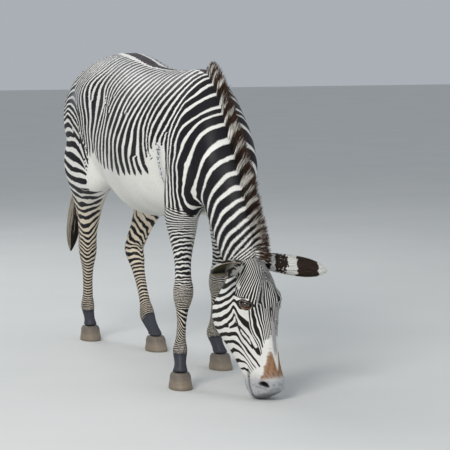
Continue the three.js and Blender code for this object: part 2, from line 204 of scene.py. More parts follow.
@dataclass
class Loft:
    """A smooth body through given sections."""

    rows: np.ndarray
    spans: int = 12
    finer: dict[str, np.ndarray] = field(default_factory=dict)

    def __post_init__(self) -> None:
        """Works out the rings between the sections, with each ring's own axes."""
        middle = (self.rows[:, :3] + self.rows[:, 3:6]) / 2
        at = np.concatenate([[0.0], np.cumsum(np.linalg.norm(np.diff(middle, axis=0), axis=1) + 1e-3)])
        count = len(self.rows) - 1
        self.station = np.linspace(0, count, count * self.spans + 1)
        where = np.interp(self.station, np.arange(count + 1), at)
        dense = hermite(self.rows, at, where)
        a, b = dense[:, :3], dense[:, 3:6]
        self.half = np.maximum(dense[:, 6], 1.0)
        self.belt, self.over, self.under = dense[:, 7], dense[:, 8], dense[:, 9]
        self.middle = (a + b) / 2
        self.centre = b + (a - b) * self.belt[:, None]
        run = np.gradient(self.middle, axis=0)
        self.up = unit(a - b)
        self.side = unit(np.cross(self.up, run))
        self.run = unit(np.cross(self.side, self.up))
        height = np.linalg.norm(a - b, axis=1)
        self.reach_up = height * (1 - self.belt)
        self.reach_down = height * self.belt

    def at(self, station: np.ndarray, name: str) -> np.ndarray:
        """A ring value at fractional stations.

        Args:
            station: the stations.
            name: what is wanted, such as half or centre.

        Returns:
            One value, or one row, for each station.
        """
        values = getattr(self, name)
        s = np.clip(station, 0, self.station[-1]) * self.spans
        k = np.minimum(s.astype(int), len(values) - 2)
        t = s - k
        if values.ndim == 2:
            t = t[:, None]
        return values[k] * (1 - t) + values[k + 1] * t

    def point(self, station: np.ndarray, angle: np.ndarray, grow: float = 0.0) -> np.ndarray:
        """Points of the skin: centre + side |cos|^(2/p) half + up |sin|^(2/p) reach, for power p.

        Args:
            station: stations along the loft.
            angle: angles in the section, from its side towards its top.
            grow: mm to add to the section all round.

        Returns:
            A point for each pair.
        """
        station, angle = np.broadcast_arrays(station, angle)
        s, t = station.ravel(), angle.ravel()
        cosine, sine = np.cos(t), np.sin(t)
        power = 2 / np.where(sine >= 0, self.at(s, "over"), self.at(s, "under"))
        reach = np.where(sine >= 0, self.at(s, "reach_up"), self.at(s, "reach_down")) + grow
        x = signed_power(cosine, power) * np.maximum(self.at(s, "half") + grow, 1.0)
        y = signed_power(sine, power) * np.maximum(reach, 1.0)
        where = self.at(s, "centre") + self.at(s, "side") * x[:, None] + self.at(s, "up") * y[:, None]
        return where.reshape(*station.shape, 3)

    def shell(self, around: int, grow: float) -> tuple[np.ndarray, np.ndarray]:
        """The closed skin as points and triangles, faces outwards.

        Args:
            around: points in each ring.
            grow: mm to add to the section all round.

        Returns:
            The points and the triangles.
        """
        angles = np.linspace(0, 2 * np.pi, around, endpoint=False)
        points = self.point(self.station[:, None], angles[None, :], grow).reshape(-1, 3)
        ends = np.stack([self.centre[0] - self.run[0] * grow, self.centre[-1] + self.run[-1] * grow])
        return np.concatenate([points, ends]), as_triangles(*tube(len(self.station), around))

    def locate(self, points: np.ndarray) -> Place:
        """Finds the ring whose plane passes through each point, and the point's place in it.

        Args:
            points: places in the animal's frame.

        Returns:
            Their place in the loft; beyond its ends the gap counts from the end.
        """
        station = np.empty(len(points))
        beyond = np.zeros(len(points))
        for part in np.array_split(np.arange(len(points)), max(1, len(points) // 20000)):
            p = points[part]
            ahead = p @ self.run.T - np.einsum("ij,ij->i", self.centre, self.run)
            far = ((p[:, None, :] - self.middle[None, ::2]) ** 2).sum(2).repeat(2, axis=1)
            far = far[:, : len(self.station)]
            crosses = (ahead[:, :-1] >= 0) & (ahead[:, 1:] < 0)
            cost = np.where(crosses, far[:, :-1], np.inf)
            k = cost.argmin(1)
            rows = np.arange(len(part))
            found = np.isfinite(cost[rows, k])
            span = ahead[rows, k] - ahead[rows, k + 1]
            t = np.where(found, ahead[rows, k] / np.where(span == 0, 1, span), 0)
            start = far[:, 0] < far[:, -1]
            end = np.where(start, 0, self.station[-1])
            station[part] = np.where(found, self.station[k] + t / self.spans, end)
            beyond[part] = np.where(found, 0, np.where(start, -ahead[:, 0], ahead[:, -1]))
        away = points - self.at(station, "centre")
        x = np.einsum("ij,ij->i", away, self.at(station, "side")) / self.at(station, "half")
        y = np.einsum("ij,ij->i", away, self.at(station, "up"))
        y = y / np.where(y >= 0, self.at(station, "reach_up"), self.at(station, "reach_down"))
        power = np.where(y >= 0, self.at(station, "over"), self.at(station, "under"))
        ratio = (np.abs(x) ** power + np.abs(y) ** power) ** (1 / power)
        gap = np.linalg.norm(away, axis=1) * (1 - 1 / np.maximum(ratio, 0.05))
        gap = np.hypot(np.maximum(gap, 0), np.maximum(beyond, 0)) + np.minimum(gap, 0)
        return Place(station, x, y, ratio, gap)


# ---------------------------------------------------------------- the animal's measures


@dataclass(frozen=True)
class Head:
    """The head's own axes, sections and features."""

    poll: Vector = (452, 30, 625)
    length: float = 620.0  # poll to lips
    turn: float = math.radians(21)  # to the animal's left
    tilt: float = math.radians(12)  # muzzle ahead of the poll
    eye_down: float = 0.318 * 620.0
    eye_out: float = 2.0
    eye_spread: float = 98.0
    eye_radius: float = 20.5
    nostril: tuple[float, float] = (556, 2)  # down, out
    nostril_turn: float = math.radians(62)
    nostril_long: float = 21.0  # half its length
    nostril_wide: float = 9.0
    # the mouth's line: down against out
    mouth = {440: -88, 500: -86, 560: -84, 600: -78, 625: -66}
    # part of the length, face, jaw, half-width, belt, powers
    sections: tuple[tuple[float, ...], ...] = (
        (-0.04, -5, -50, 20, 0.5, 2, 2),  # nape
        (-0.016, 15, -88, 52, 0.5, 2, 2),  # poll
        (0.048, 35, -126, 75, 0.5, 2, 2),  # brow
        (0.128, 52, -168, 92, 0.55, 2.2, 2.4),  # temple
        (0.224, 60, -214, 113, 0.6, 2.6, 3),  # forehead
        (0.305, 62, -250, 118, 0.6, 2.8, 3.4),  # orbit
        (0.4, 57, -263, 107, 0.6, 2.5, 3.6),  # cheek
        (0.496, 53, -248, 93, 0.55, 2.4, 3.2),  # jaw
        (0.592, 49, -218, 78, 0.5, 2.3, 2.8),  # bars
        (0.704, 45, -186, 67, 0.5, 2.3, 2.6),  # bridge
        (0.8, 45, -160, 65, 0.5, 2.3, 2.4),  # chin groove
        (0.88, 46, -144, 70, 0.5, 2.4, 2.3),  # nostril
        (0.942, 38, -134, 68, 0.5, 2.4, 2.3),  # lip
        (0.98, 12, -114, 54, 0.5, 2.2, 2.2),  # lip edge
        (0.996, -22, -84, 20, 0.5, 2, 2),  # mouth
    )

    @property
    def axes(self) -> np.ndarray:
        """The directions down the face, out of the face and to the animal's left, as rows."""
        st, ct = math.sin(self.tilt), math.cos(self.tilt)
        sy, cy = math.sin(self.turn), math.cos(self.turn)
        return np.array([[st * cy, st * sy, -ct], [ct * cy, ct * sy, st], [-sy, cy, 0.0]])

    def on(self, down: float, out: float, left: float = 0.0) -> np.ndarray:
        """A point from its place on the head."""
        return np.array(self.poll) + np.array([down, out, left]) @ self.axes

    def inside(self, points: np.ndarray) -> np.ndarray:
        """Each point's place on the head: down, out, left."""
        return (points - np.array(self.poll)) @ self.axes.T

    def slit(self, down: np.ndarray, out: np.ndarray) -> tuple[np.ndarray, np.ndarray]:
        """Distances along and across a nostril's slit, mm, a comma that bends forwards at its top.

        Args:
            down: mm down the head.
            out: mm out of the face.

        Returns:
            The distances along and across.
        """
        x, y = down - self.nostril[0], out - self.nostril[1]
        c, s = math.cos(self.nostril_turn), math.sin(self.nostril_turn)
        along = x * c + y * s
        return along, -x * s + y * c + 0.012 * along * along

    def nostril_reach(self, down: np.ndarray, out: np.ndarray) -> np.ndarray:
        """How far from the nostril's middle a place is: 1 at its edge."""
        along, across = self.slit(down, out)
        return np.hypot(along / self.nostril_long, across / self.nostril_wide)

    def mouth_gap(self, down: np.ndarray, out: np.ndarray) -> np.ndarray:
        """The distance above the mouth's line."""
        return out - curve(down, self.mouth)

    def loft(self) -> Loft:
        """The head as one loft."""
        rows = [
            section(self.on(down * self.length, face), self.on(down * self.length, jaw), *rest)
            for down, face, jaw, *rest in self.sections
        ]
        return Loft(np.array(rows))


TRUNK_SECTIONS = {
    # x, top, low, half-width, belt, power above
    "tail_end": (-1398, 1195, 1085, 45, 0.5, 2),
    "point_of_buttock": (-1374, 1285, 1000, 142, 0.5, 2),
    "dock": (-1305, 1388, 930, 232, 0.52, 2.1),
    "hip": (-1180, 1474, 880, 286, 0.55, 2.2),
    "croup": (-1030, 1522, 855, 282, 0.58, 2.1),
    "loin": (-860, 1510, 790, 272, 0.55, 2),
    "flank": (-640, 1468, 729, 285, 0.5, 2),
    "back": (-420, 1452, 737, 295, 0.48, 2),
    "ribs": (-220, 1452, 755, 270, 0.48, 1.9),
    "withers": (0, 1450, 785, 205, 0.45, 1.75),
    "shoulder": (110, 1385, 802, 175, 0.45, 1.8),
    "breast": (220, 1250, 840, 150, 0.45, 2),
    "breast_front": (300, 1100, 900, 100, 0.5, 2),
    "breast_end": (335, 1020, 970, 30, 0.5, 2),
}
NECK_SECTIONS = {
    # crest, throat, half-width
    "in_withers": ((-160, 0, 1440), (80, 0, 900), 150),
    "withers": ((0, 0, 1445), (140, 0, 840), 160),
    "base": ((120, -2, 1365), (176, 0, 800), 150),
    "lower": ((225, -4, 1235), (184, 0, 752), 136),
    "middle": ((315, 3, 1090), (190, 3, 705), 122),
    "upper": ((385, 12, 940), (200, 6, 660), 110),
    "nape": ((435, 24, 800), (222, 10, 612), 100),
    "throat": ((465, 36, 690), (250, 18, 568), 92),
    "poll": ((470, 42, 632), (285, 25, 530), 78),
}
FORE_PROFILE = {
    # bone (0 upper, 1 middle, 2 cannon, 3 pastern), part of it, reach ahead, behind, half-width
    "arm_top": (0, 0, 90, 90, 40),
    "arm": (0, 0.22, 130, 130, 78),
    "arm_low": (0, 0.55, 136, 132, 92),
    "elbow_top": (0, 0.82, 118, 122, 88),
    "elbow": (1, 0, 100, 102, 78),
    "forearm_top": (1, 0.18, 80, 84, 67),
    "forearm": (1, 0.4, 60, 62, 52),
    "forearm_low": (1, 0.62, 45, 46, 40),
    "knee_top": (1, 0.85, 44, 42, 41),
    "knee": (2, 0, 48, 47, 50),
    "knee_low": (2, 0.15, 43, 46, 46),
    "cannon_top": (2, 0.32, 32, 38, 32),
    "cannon": (2, 0.58, 30, 34, 24.5),
    "cannon_low": (2, 0.82, 33, 36, 26),
    "fetlock": (3, 0, 42, 50, 36),
    "pastern_top": (3, 0.35, 39, 44, 31),
    "pastern": (3, 0.7, 40, 39, 29),
    "coronet": (3, 1, 48, 44, 43),
}
HIND_PROFILE = {
    "hip": (0, 0, 130, 110, 50),
    "rump": (0, 0.25, 215, 205, 102),
    "thigh": (0, 0.55, 255, 235, 120),
    "stifle": (1, 0, 215, 225, 113),
    "gaskin_top": (1, 0.15, 155, 192, 100),
    "gaskin_high": (1, 0.32, 108, 145, 80),
    "gaskin": (1, 0.5, 85, 114, 63),
    "gaskin_low": (1, 0.72, 64, 86, 49),
    "hock_top": (1, 0.9, 56, 84, 45),
    "hock": (2, 0, 54, 72, 48),
    "hock_low": (2, 0.16, 48, 62, 43),
    "cannon_top": (2, 0.32, 38, 49, 33),
    "cannon": (2, 0.6, 33, 40, 27),
    "cannon_low": (2, 0.84, 36, 43, 29),
    "fetlock": (3, 0, 44, 58, 37),
    "pastern_top": (3, 0.35, 38, 52, 31),
    "pastern": (3, 0.7, 38, 38, 30),
    "coronet": (3, 1, 47, 43, 43),
}


class Side(Enum):
    """A side of the body; the value is its sign across the body."""

    RIGHT = -1
    LEFT = 1


SHOULDERS = {Side.RIGHT: 62, Side.LEFT: -10}  # how far each shoulder is ahead of the withers, mm


class Pair(Enum):
    """A pair of legs; the value is what its legs are called."""

    FORE = "foreleg"
    HIND = "hindleg"


@dataclass(frozen=True)
class Limb:
    """A leg: its joints from the top to the coronet, and how far its toe turns out, degrees."""

    pair: Pair
    side: Side
    joints: tuple[Vector, ...]
    toe_out: float

    @property
    def name(self) -> str:
        """The leg's name."""
        return f"{self.pair.value}_{self.side.name.lower()}"

    @property
    def profile(self) -> dict[str, tuple[float, ...]]:
        """The rows of its pair."""
        return FORE_PROFILE if self.pair is Pair.FORE else HIND_PROFILE

    def heading(self, share: float = 1.0) -> np.ndarray:
        """The level direction that the toe points in, or a share of the way to it."""
        turn = math.radians(self.toe_out * share)
        return vec(math.cos(turn), math.sin(turn), 0)

    def ahead(self, bone: int, t: float) -> np.ndarray:
        """The way ahead at a place on a bone: the toe's heading, made square to the bone's run.

        Args:
            bone: the number of the bone from the top.
            t: the part of it from its top.

        Returns:
            A direction of length one.
        """
        joints = np.array(self.joints, float)
        run = unit(np.diff(joints, axis=0))
        before, after = run[max(bone - 1, 0)], run[min(bone + 1, len(run) - 1)]
        along = unit(run[bone] + before * max(0, 0.5 - t) + after * max(0, t - 0.5))
        level = self.heading(min(1, (bone + t) / 3))
        return unit(level - along * (level @ along))

    def loft(self) -> Loft:
        """The leg as one loft."""
        joints = np.array(self.joints, float)
        rows = []
        for bone, t, front, back, half in self.profile.values():
            centre = joints[bone] + (joints[bone + 1] - joints[bone]) * t
            ahead = self.heading() if bone == 3 and t == 1 else self.ahead(bone, t)
            belt = back / (front + back)
            rows.append(section(centre + ahead * front, centre - ahead * back, half, belt, 2.2, 2.2))
        return Loft(np.array(rows), spans=10)


LIMBS = (
    Limb(
        Pair.FORE,
        Side.RIGHT,
        ((62, -108, 1120), (58, -156, 790), (96, -165, 450), (85, -177, 172), (120, -191, 75)),
        -8,
    ),
    Limb(
        Pair.FORE,
        Side.LEFT,
        ((-28, 108, 1120), (-125, 137, 790), (-236, 158, 450), (-335, 176, 172), (-290, 190, 75)),
        5,
    ),
    Limb(
        Pair.HIND,
        Side.RIGHT,
        ((-1080, -120, 1220), (-1130, -170, 910), (-1325, -110, 505), (-1412, -80, 178), (-1398, -72, 75)),
        -5,
    ),
    Limb(
        Pair.HIND,
        Side.LEFT,
        ((-1020, 120, 1220), (-990, 165, 905), (-1208, 106, 500), (-1046, 112, 178), (-930, 112, 75)),
        5,
    ),
)
TAIL_SECTIONS = {
    # centre, half-thickness fore and aft, half-width
    "root": ((-1330, 0, 1345), 34, 40),
    "dock": ((-1412, -4, 1290), 30, 33),
    "upper": ((-1452, -22, 1160), 24, 25),
    "lower": ((-1478, -52, 990), 21, 22),
    "tuft_top": ((-1492, -80, 860), 24, 27),
}


def trunk_loft() -> Loft:
    """The trunk from the buttocks to the breast."""
    rows = [
        section(vec(x, 0, top), vec(x, 0, low), half, belt, power, 2.15)
        for x, top, low, half, belt, power in TRUNK_SECTIONS.values()
    ]
    return Loft(np.array(rows))


def neck_loft() -> Loft:
    """The neck from inside the withers to the poll."""
    rows = [
        section(np.array(crest, float), np.array(throat, float), half, 0.48, 1.8, 2)
        for crest, throat, half in NECK_SECTIONS.values()
    ]
    return Loft(np.array(rows))


def tail_loft() -> Loft:
    """The fleshy part of the tail."""
    rows = [
        section(np.array(at) + vec(deep, 0, 0), np.array(at) - vec(deep, 0, 0), half)
        for at, deep, half in TAIL_SECTIONS.values()
    ]
    return Loft(np.array(rows))


# ---------------------------------------------------------------- meshes


def linked(name: str, data: bpy.types.ID) -> bpy.types.Object:
    """A new object in the scene."""
    item = bpy.data.objects.new(name, data)
    bpy.context.scene.collection.objects.link(item)
    return item


def drop(item: bpy.types.Object) -> None:
    """Removes an object and its mesh."""
    mesh = item.data
    bpy.data.objects.remove(item)
    bpy.data.meshes.remove(mesh)


def pull(parts: bpy.types.bpy_prop_collection, key: str, width: int = 1, kind: type = np.int32) -> np.ndarray:
    """A property of a mesh's parts as an array, in rows where it is wider than one number."""
    flat = np.empty(len(parts) * width, kind)
    parts.foreach_get(key, flat)
    return flat.reshape(-1, width) if width > 1 else flat


def push_points(mesh: bpy.types.Mesh, points: np.ndarray) -> None:
    """Places a mesh's points, given in the animal's frame, in the part's frame."""
    mesh.vertices.foreach_set("co", ((points + ORIGIN) / MM).astype(np.float32).ravel())


def make_object(name: str, points: np.ndarray, faces: np.ndarray) -> bpy.types.Object:
    """A smooth mesh object in the part's frame from points in the animal's frame.

    Args:
        name: the piece's name.
        points: rows of x, y, z in mm.
        faces: rows of three or four point numbers, -1 where a row has only three.

    Returns:
        The object, in the scene.
    """
    mesh = bpy.data.meshes.new(name)
    corners = faces.ravel()
    sizes = np.full(len(faces), faces.shape[1])
    if faces.shape[1] == 4:
        sizes = 4 - (faces[:, 3] < 0)
        corners = corners[corners >= 0]
    mesh.vertices.add(len(points))
    push_points(mesh, points)
    mesh.loops.add(len(corners))
    mesh.loops.foreach_set("vertex_index", corners.astype(np.int32))
    mesh.polygons.add(len(faces))
    starts = np.concatenate([[0], np.cumsum(sizes)[:-1]])
    mesh.polygons.foreach_set("loop_start", starts.astype(np.int32))
    mesh.polygons.foreach_set("use_smooth", np.ones(len(faces), bool))
    mesh.update(calc_edges=True)
    mesh.validate()
    return linked(name, mesh)


def read_points(mesh: bpy.types.Mesh) -> np.ndarray:
    """A mesh's points in the animal's frame, mm."""
    return pull(mesh.vertices, "co", 3, np.float32).astype(float) * MM - ORIGIN


def write_points(mesh: bpy.types.Mesh, points: np.ndarray) -> None:
    """Puts moved points back into a mesh."""
    push_points(mesh, points)
    mesh.update()


def read_normals(mesh: bpy.types.Mesh) -> np.ndarray:
    """The normals at a mesh's points."""
    return pull(mesh.vertex_normals, "vector", 3, np.float32).astype(float)


def read_edges(mesh: bpy.types.Mesh) -> np.ndarray:
    """A mesh's edges as pairs of point numbers."""
    return pull(mesh.edges, "vertices", 2)


def put_values(mesh: bpy.types.Mesh, name: str, values: np.ndarray) -> None:
    """Stores a value at each point: one number, or three as a vector."""
    kind = "FLOAT" if values.ndim == 1 else "FLOAT_VECTOR"
    layer = mesh.attributes.new(name, kind, "POINT")
    layer.data.foreach_set("value" if values.ndim == 1 else "vector", values.astype(np.float32).ravel())


LEAST_JUMP = 0.74  # the least step of a phase within a face that counts as a jump


def level_turns(rows: np.ndarray, first: np.ndarray) -> np.ndarray:
    """Takes whole turns off the first two phases where they jump from those of a first corner.

    They jump where a stripe ends. Where stripes are fine a phase may truly change by most of
    a turn within a face, so only larger steps count as jumps; the third phase never jumps.

    Args:
        rows: phases, first to third in the last place.
        first: those of the first corner.

    Returns:
        The phases without the jumps.
    """
    step = rows - first
    turns = np.where(np.abs(step) > LEAST_JUMP, np.round(step), 0.0)
    turns[..., 2] = 0
    return rows - turns


def put_corners(mesh: bpy.types.Mesh, name: str, values: np.ndarray) -> None:
    """Stores phases at each face's corners, without the jumps between them.

    Args:
        mesh: the mesh.
        name: the attribute's name.
        values: three phases for each point.
    """
    starts = pull(mesh.polygons, "loop_start")
    rows = values[pull(mesh.loops, "vertex_index")]
    first = np.repeat(rows[starts], np.diff(np.append(starts, len(rows))), axis=0)
    rows = level_turns(rows, first)
    layer = mesh.attributes.new(name, "FLOAT_VECTOR", "CORNER")
    layer.data.foreach_set("vector", rows.astype(np.float32).ravel())


def relax(points: np.ndarray, edges: np.ndarray, weight: np.ndarray, rounds: int) -> np.ndarray:
    """Moves each point towards the mean of its neighbours, by its weight, in each round.

    Args:
        points: rows to even out.
        edges: pairs of point numbers.
        weight: 0 to 1 for each point.
        rounds: how often.

    Returns:
        The moved rows.
    """
    count = len(points)
    near = np.bincount(edges.ravel(), minlength=count).astype(float)
    a, b = edges.T
    for _ in range(rounds):
        sums = [np.bincount(a, points[b, k], count) + np.bincount(b, points[a, k], count) for k in range(3)]
        mean = np.stack(sums, 1) / np.maximum(near, 1)[:, None]
        points = points + (mean - points) * weight[:, None]
    return points


def evaluated(item: bpy.types.Object) -> bpy.types.Mesh:
    """An object's mesh with its modifiers carried out; the object itself is removed."""
    graph = bpy.context.evaluated_depsgraph_get()
    mesh = bpy.data.meshes.new_from_object(item.evaluated_get(graph))
    drop(item)
    return mesh


def refine(mesh: bpy.types.Mesh, zone: np.ndarray) -> None:
    """Halves the mesh's edges where both ends lie in the zone, a flag for each point.

    Args:
        mesh: changed in place.
        zone: a flag for each point.
    """
    form = bmesh.new()
    form.from_mesh(mesh)
    form.verts.ensure_lookup_table()
    edges = [e for e in form.edges if zone[e.verts[0].index] and zone[e.verts[1].index]]
    bmesh.ops.subdivide_edges(form, edges=edges, cuts=1, use_grid_fill=True)
    wide = [f for f in form.faces if len(f.verts) > 4]
    bmesh.ops.triangulate(form, faces=wide)
    form.to_mesh(mesh)
    form.free()


# ---------------------------------------------------------------- ears


@dataclass(frozen=True)
class Ear:
    """A cupped ear: its root and reach, and the way that its cup opens."""

    name: str
    root: Vector  # on the head: down, out, left
    reach: Vector
    opens: Vector
    wall: float = 6.5
    beyond: float = 0.35  # how far each arc runs past the sides, radians
    fur: float = 2.0  # how deep the skin lies in the solid
    # part of the ear, half-width, depth of the cup
    leaf: tuple[tuple[float, float, float], ...] = (
        (0, 36, 37),
        (0.15, 43, 42),
        (0.35, 47, 40),
        (0.57, 48, 34),
        (0.76, 42, 25),
        (0.91, 27, 15),
        (1, 7, 4),
    )

    @property
    def axes(self) -> np.ndarray:
        """The ear's own directions as rows: across the leaf, out of the cup, along."""
        along = np.array(self.reach, float)
        out = unit(np.array(self.opens) - along * (np.array(self.opens) @ along) / (along @ along))
        along = unit(along)
        return np.stack([np.cross(along, out), out, along])

    def measures(self, part: np.ndarray) -> tuple[np.ndarray, np.ndarray, np.ndarray]:
        """The half-width, back depth and front depth at parts of the ear's length.

        Args:
            part: parts of the ear's length, from its root.

        Returns:
            Three rows of mm.
        """
        table = np.array(self.leaf)
        rows = hermite(table[:, 1:], table[:, 0], np.clip(part, 0, 1))
        half, depth = np.maximum(rows[:, 0] - self.fur, 3.0), np.maximum(rows[:, 1] - self.fur, 2.0)
        front = depth * (0.8 + (0.1 - 0.8) * np.minimum(1, part / 0.5))
        return half, depth, front

    def shell(self, head: Head, rings: int = 58, around: int = 34) -> tuple[np.ndarray, np.ndarray]:
        """The closed leaf: each ring runs round the back and returns inside the wall.

        The outer arc is x = half cos(a), y = -depth sin(a); the inner one follows it a wall
        further in where the cup is open, and bulges forward near the root, where it is not.

        Args:
            head: the head that it stands on.
            rings: rings from root to tip.
            around: points in each of its two arcs.

        Returns:
            The points and the triangles.
        """
        part = np.linspace(0, 1, rings)
        half, depth, front = (v[:, None] for v in self.measures(part))
        a = np.linspace(-self.beyond, math.pi + self.beyond, around)[None, :]
        outer_y = np.where(np.sin(a) > 0, -depth, -front) * np.sin(a)
        wall = np.minimum(self.wall * (1 - 0.55 * part[:, None]), 0.45 * half)
        opened = ramp(0.1, 0.36, part)[:, None]
        inner = (half - wall) * np.cos(a)
        hollow = -np.maximum(depth - wall, 0.6) * np.maximum(np.sin(a), 0)
        hollow = hollow - front * 0.6 * np.minimum(np.sin(a), 0)
        closed = front * np.abs(np.sin(a)) + 2
        inner_y = closed * (1 - opened) + hollow * opened
        x = np.concatenate([half * np.cos(a), inner[:, ::-1]], 1)
        y = np.concatenate([outer_y, inner_y[:, ::-1]], 1)
        side, out, _ = self.axes
        centre = head.on(*self.root) + part[:, None] * np.array(self.reach, float)
        points = centre[:, None, :] + x[..., None] * side + y[..., None] * out
        ends = np.stack([points[0].mean(0), points[-1].mean(0)])
        faces = as_triangles(*tube(rings, points.shape[1], turned=True))
        return np.concatenate([points.reshape(-1, 3), ends]), faces

    def inside(self, head: Head, points: np.ndarray) -> tuple[np.ndarray, np.ndarray, np.ndarray]:
        """Each point's part of the length, place across, and height over the cup's mid wall.

        Args:
            head: the head that it stands on.
            points: places in the animal's frame.

        Returns:
            The three, with the place across 1 at the edge and the height in mm.
        """
        x, y, z = ((points - head.on(*self.root)) @ self.axes.T).T
        part = z / np.linalg.norm(self.reach)
        half, depth, _ = self.measures(np.clip(part, 0, 1))
        across = x / half
        mid = -(depth - self.wall / 2) * np.sqrt(np.clip(1 - (x / np.maximum(half - 3, 1)) ** 2, 0, 1))
        return part, across, y - mid


EARS = (
    Ear("ear_left", (10, -24, 60), (92, 287, -52), (-0.85, 0.38, -0.36)),
    Ear("ear_right", (36, -36, -56), (139, -208, 20), (0.62, 0.36, -0.66)),
)


# ---------------------------------------------------------------- the skin


@dataclass
class Anatomy:
    """Every loft of the animal, and how deep the skin lies in each."""

    head: Head = field(default_factory=Head)

    def __post_init__(self) -> None:
        """Builds the lofts."""
        self.lofts: dict[str, Loft] = {"trunk": trunk_loft(), "neck": neck_loft(), "head": self.head.loft()}
        self.lofts |= {limb.name: limb.loft() for limb in LIMBS}
        self.lofts["tail"] = tail_loft()
        self.depth = {name: COAT_DEPTH for name in self.lofts}
        self.depth |= {limb.name: 2.5 for limb in LIMBS} | {"head": 3.0, "tail": 3.0}

    def places(self, points: np.ndarray, margin: float = 150.0) -> dict[str, Place]:
        """Each loft's view of the points; points far from a loft get a large gap."""
        found = {}
        for name, loft in self.lofts.items():
            low = loft.middle.min(0) - max(loft.half.max(), loft.reach_up.max()) - margin
            high = loft.middle.max(0) + max(loft.half.max(), loft.reach_down.max()) + margin
            near = ((points > low) & (points < high)).all(1)
            place = Place(*(np.zeros(len(points)) for _ in range(5)))
            place.gap[:] = 1e3
            place.ratio[:] = 9
            if near.any():
                here = loft.locate(points[near])
                for key in ("station", "side", "up", "ratio", "gap"):
                    getattr(place, key)[near] = getattr(here, key)
            found[name] = place
        return found


FINE_PLACES = {
    # where stripes change quickly: from and to along the body, from and to in height
    "croup": ((-1130, -940), (1170, 2000)),
    "shoulder": ((-120, 40), (880, 1180)),
    "breast": ((110, 215), (830, 960)),
}


@dataclass
class Skin:
    """The one skin over trunk, neck, head, ears, legs and the tail's dock."""

    anatomy: Anatomy
    voxel: float = 11.5
    junction: float = 45.0  # how far from a joint of two parts the skin is eased

    def build(self) -> bpy.types.Object:
        """Unites the lofts, eases their joints, makes head and FINE_PLACES finer, adds ears, models all."""
        mesh = self.united()
        points = read_points(mesh)
        places = self.anatomy.places(points)
        gaps = np.sort(np.stack([p.gap for p in places.values()]), axis=0)
        near = np.exp(-((np.maximum(gaps[1], 0) / self.junction) ** 2))
        points = relax(points, read_edges(mesh), 0.1 + 0.5 * near, 14)
        write_points(mesh, points)
        head = self.anatomy.head
        down = head.inside(points)[:, 0]
        x, _, z = points.T
        zone = (places["head"].gap < 12) & (down > 20)
        for (back, front), (low, high) in FINE_PLACES.values():
            zone |= (x > back) & (x < front) & (z > low) & (z < high)
        refine(mesh, zone)
        points = read_points(mesh)
        down = head.inside(points)[:, 0]
        points = relax(points, read_edges(mesh), np.where((down > 10) & (down < 640), 0.3, 0.0), 3)
        write_points(mesh, points)
        self.add_ears(mesh)
        refine(mesh, self.fine_zone(read_points(mesh)))
        self.ease_ears(mesh)
        write_points(mesh, Face(head).model(read_points(mesh), read_normals(mesh)))
        write_points(mesh, Muscles().model(read_points(mesh), read_normals(mesh)))
        mesh.shade_smooth()
        return linked("skin", mesh)

    def united(self) -> bpy.types.Mesh:
        """The lofts' shells as one closed surface of even squares."""
        points, faces, start = [], [], 0
        for name, loft in self.anatomy.lofts.items():
            p, f = loft.shell(72, -self.anatomy.depth[name])
            points.append(p)
            faces.append(f + start)
            start += len(p)
        item = make_object("skin_shells", np.concatenate(points), np.concatenate(faces))
        union = item.modifiers.new("union", "REMESH")
        union.mode = "VOXEL"
        union.voxel_size = self.voxel / MM
        union.adaptivity = 0
        return evaluated(item)

    def add_ears(self, mesh: bpy.types.Mesh) -> None:
        """Joins the ears' shells to the skin with a boolean union."""
        item = linked("skin_body", mesh.copy())
        extra = []
        for ear in EARS:
            part = make_object(ear.name + "_shell", *ear.shell(self.anatomy.head))
            extra.append(part)
            join = item.modifiers.new(ear.name, "BOOLEAN")
            join.operation = "UNION"
            join.solver = "MANIFOLD"
            join.object = part
        joined = evaluated(item)
        for part in extra:
            drop(part)
        form = bmesh.new()
        form.from_mesh(joined)
        form.to_mesh(mesh)
        form.free()
        bpy.data.meshes.remove(joined)

    def fine_zone(self, points: np.ndarray) -> np.ndarray:
        """Where the face needs its finest squares: round the eyes, and the muzzle.

        Args:
            points: places in the animal's frame.

        Returns:
            A flag for each.
        """
        head = self.anatomy.head
        down, out, left = head.inside(points).T
        eye = np.hypot(down - head.eye_down, out - head.eye_out) < 44
        eye &= np.abs(left) > 60
        muzzle = (down > 505) & (down < 640) & (out > -175) & (out < 80)
        return eye | muzzle

    def ease_ears(self, mesh: bpy.types.Mesh) -> None:
        """Rounds the line where each ear meets the head."""
        points = read_points(mesh)
        head = self.anatomy.head
        weight = np.zeros(len(points))
        for ear in EARS:
            part, _, _ = ear.inside(head, points)
            near = np.linalg.norm(points - head.on(*ear.root), axis=1)
            weight = np.maximum(weight, 0.5 * bump(part, 0.12, 0.12) * (near < 110))
        write_points(mesh, relax(points, read_edges(mesh), weight, 6))


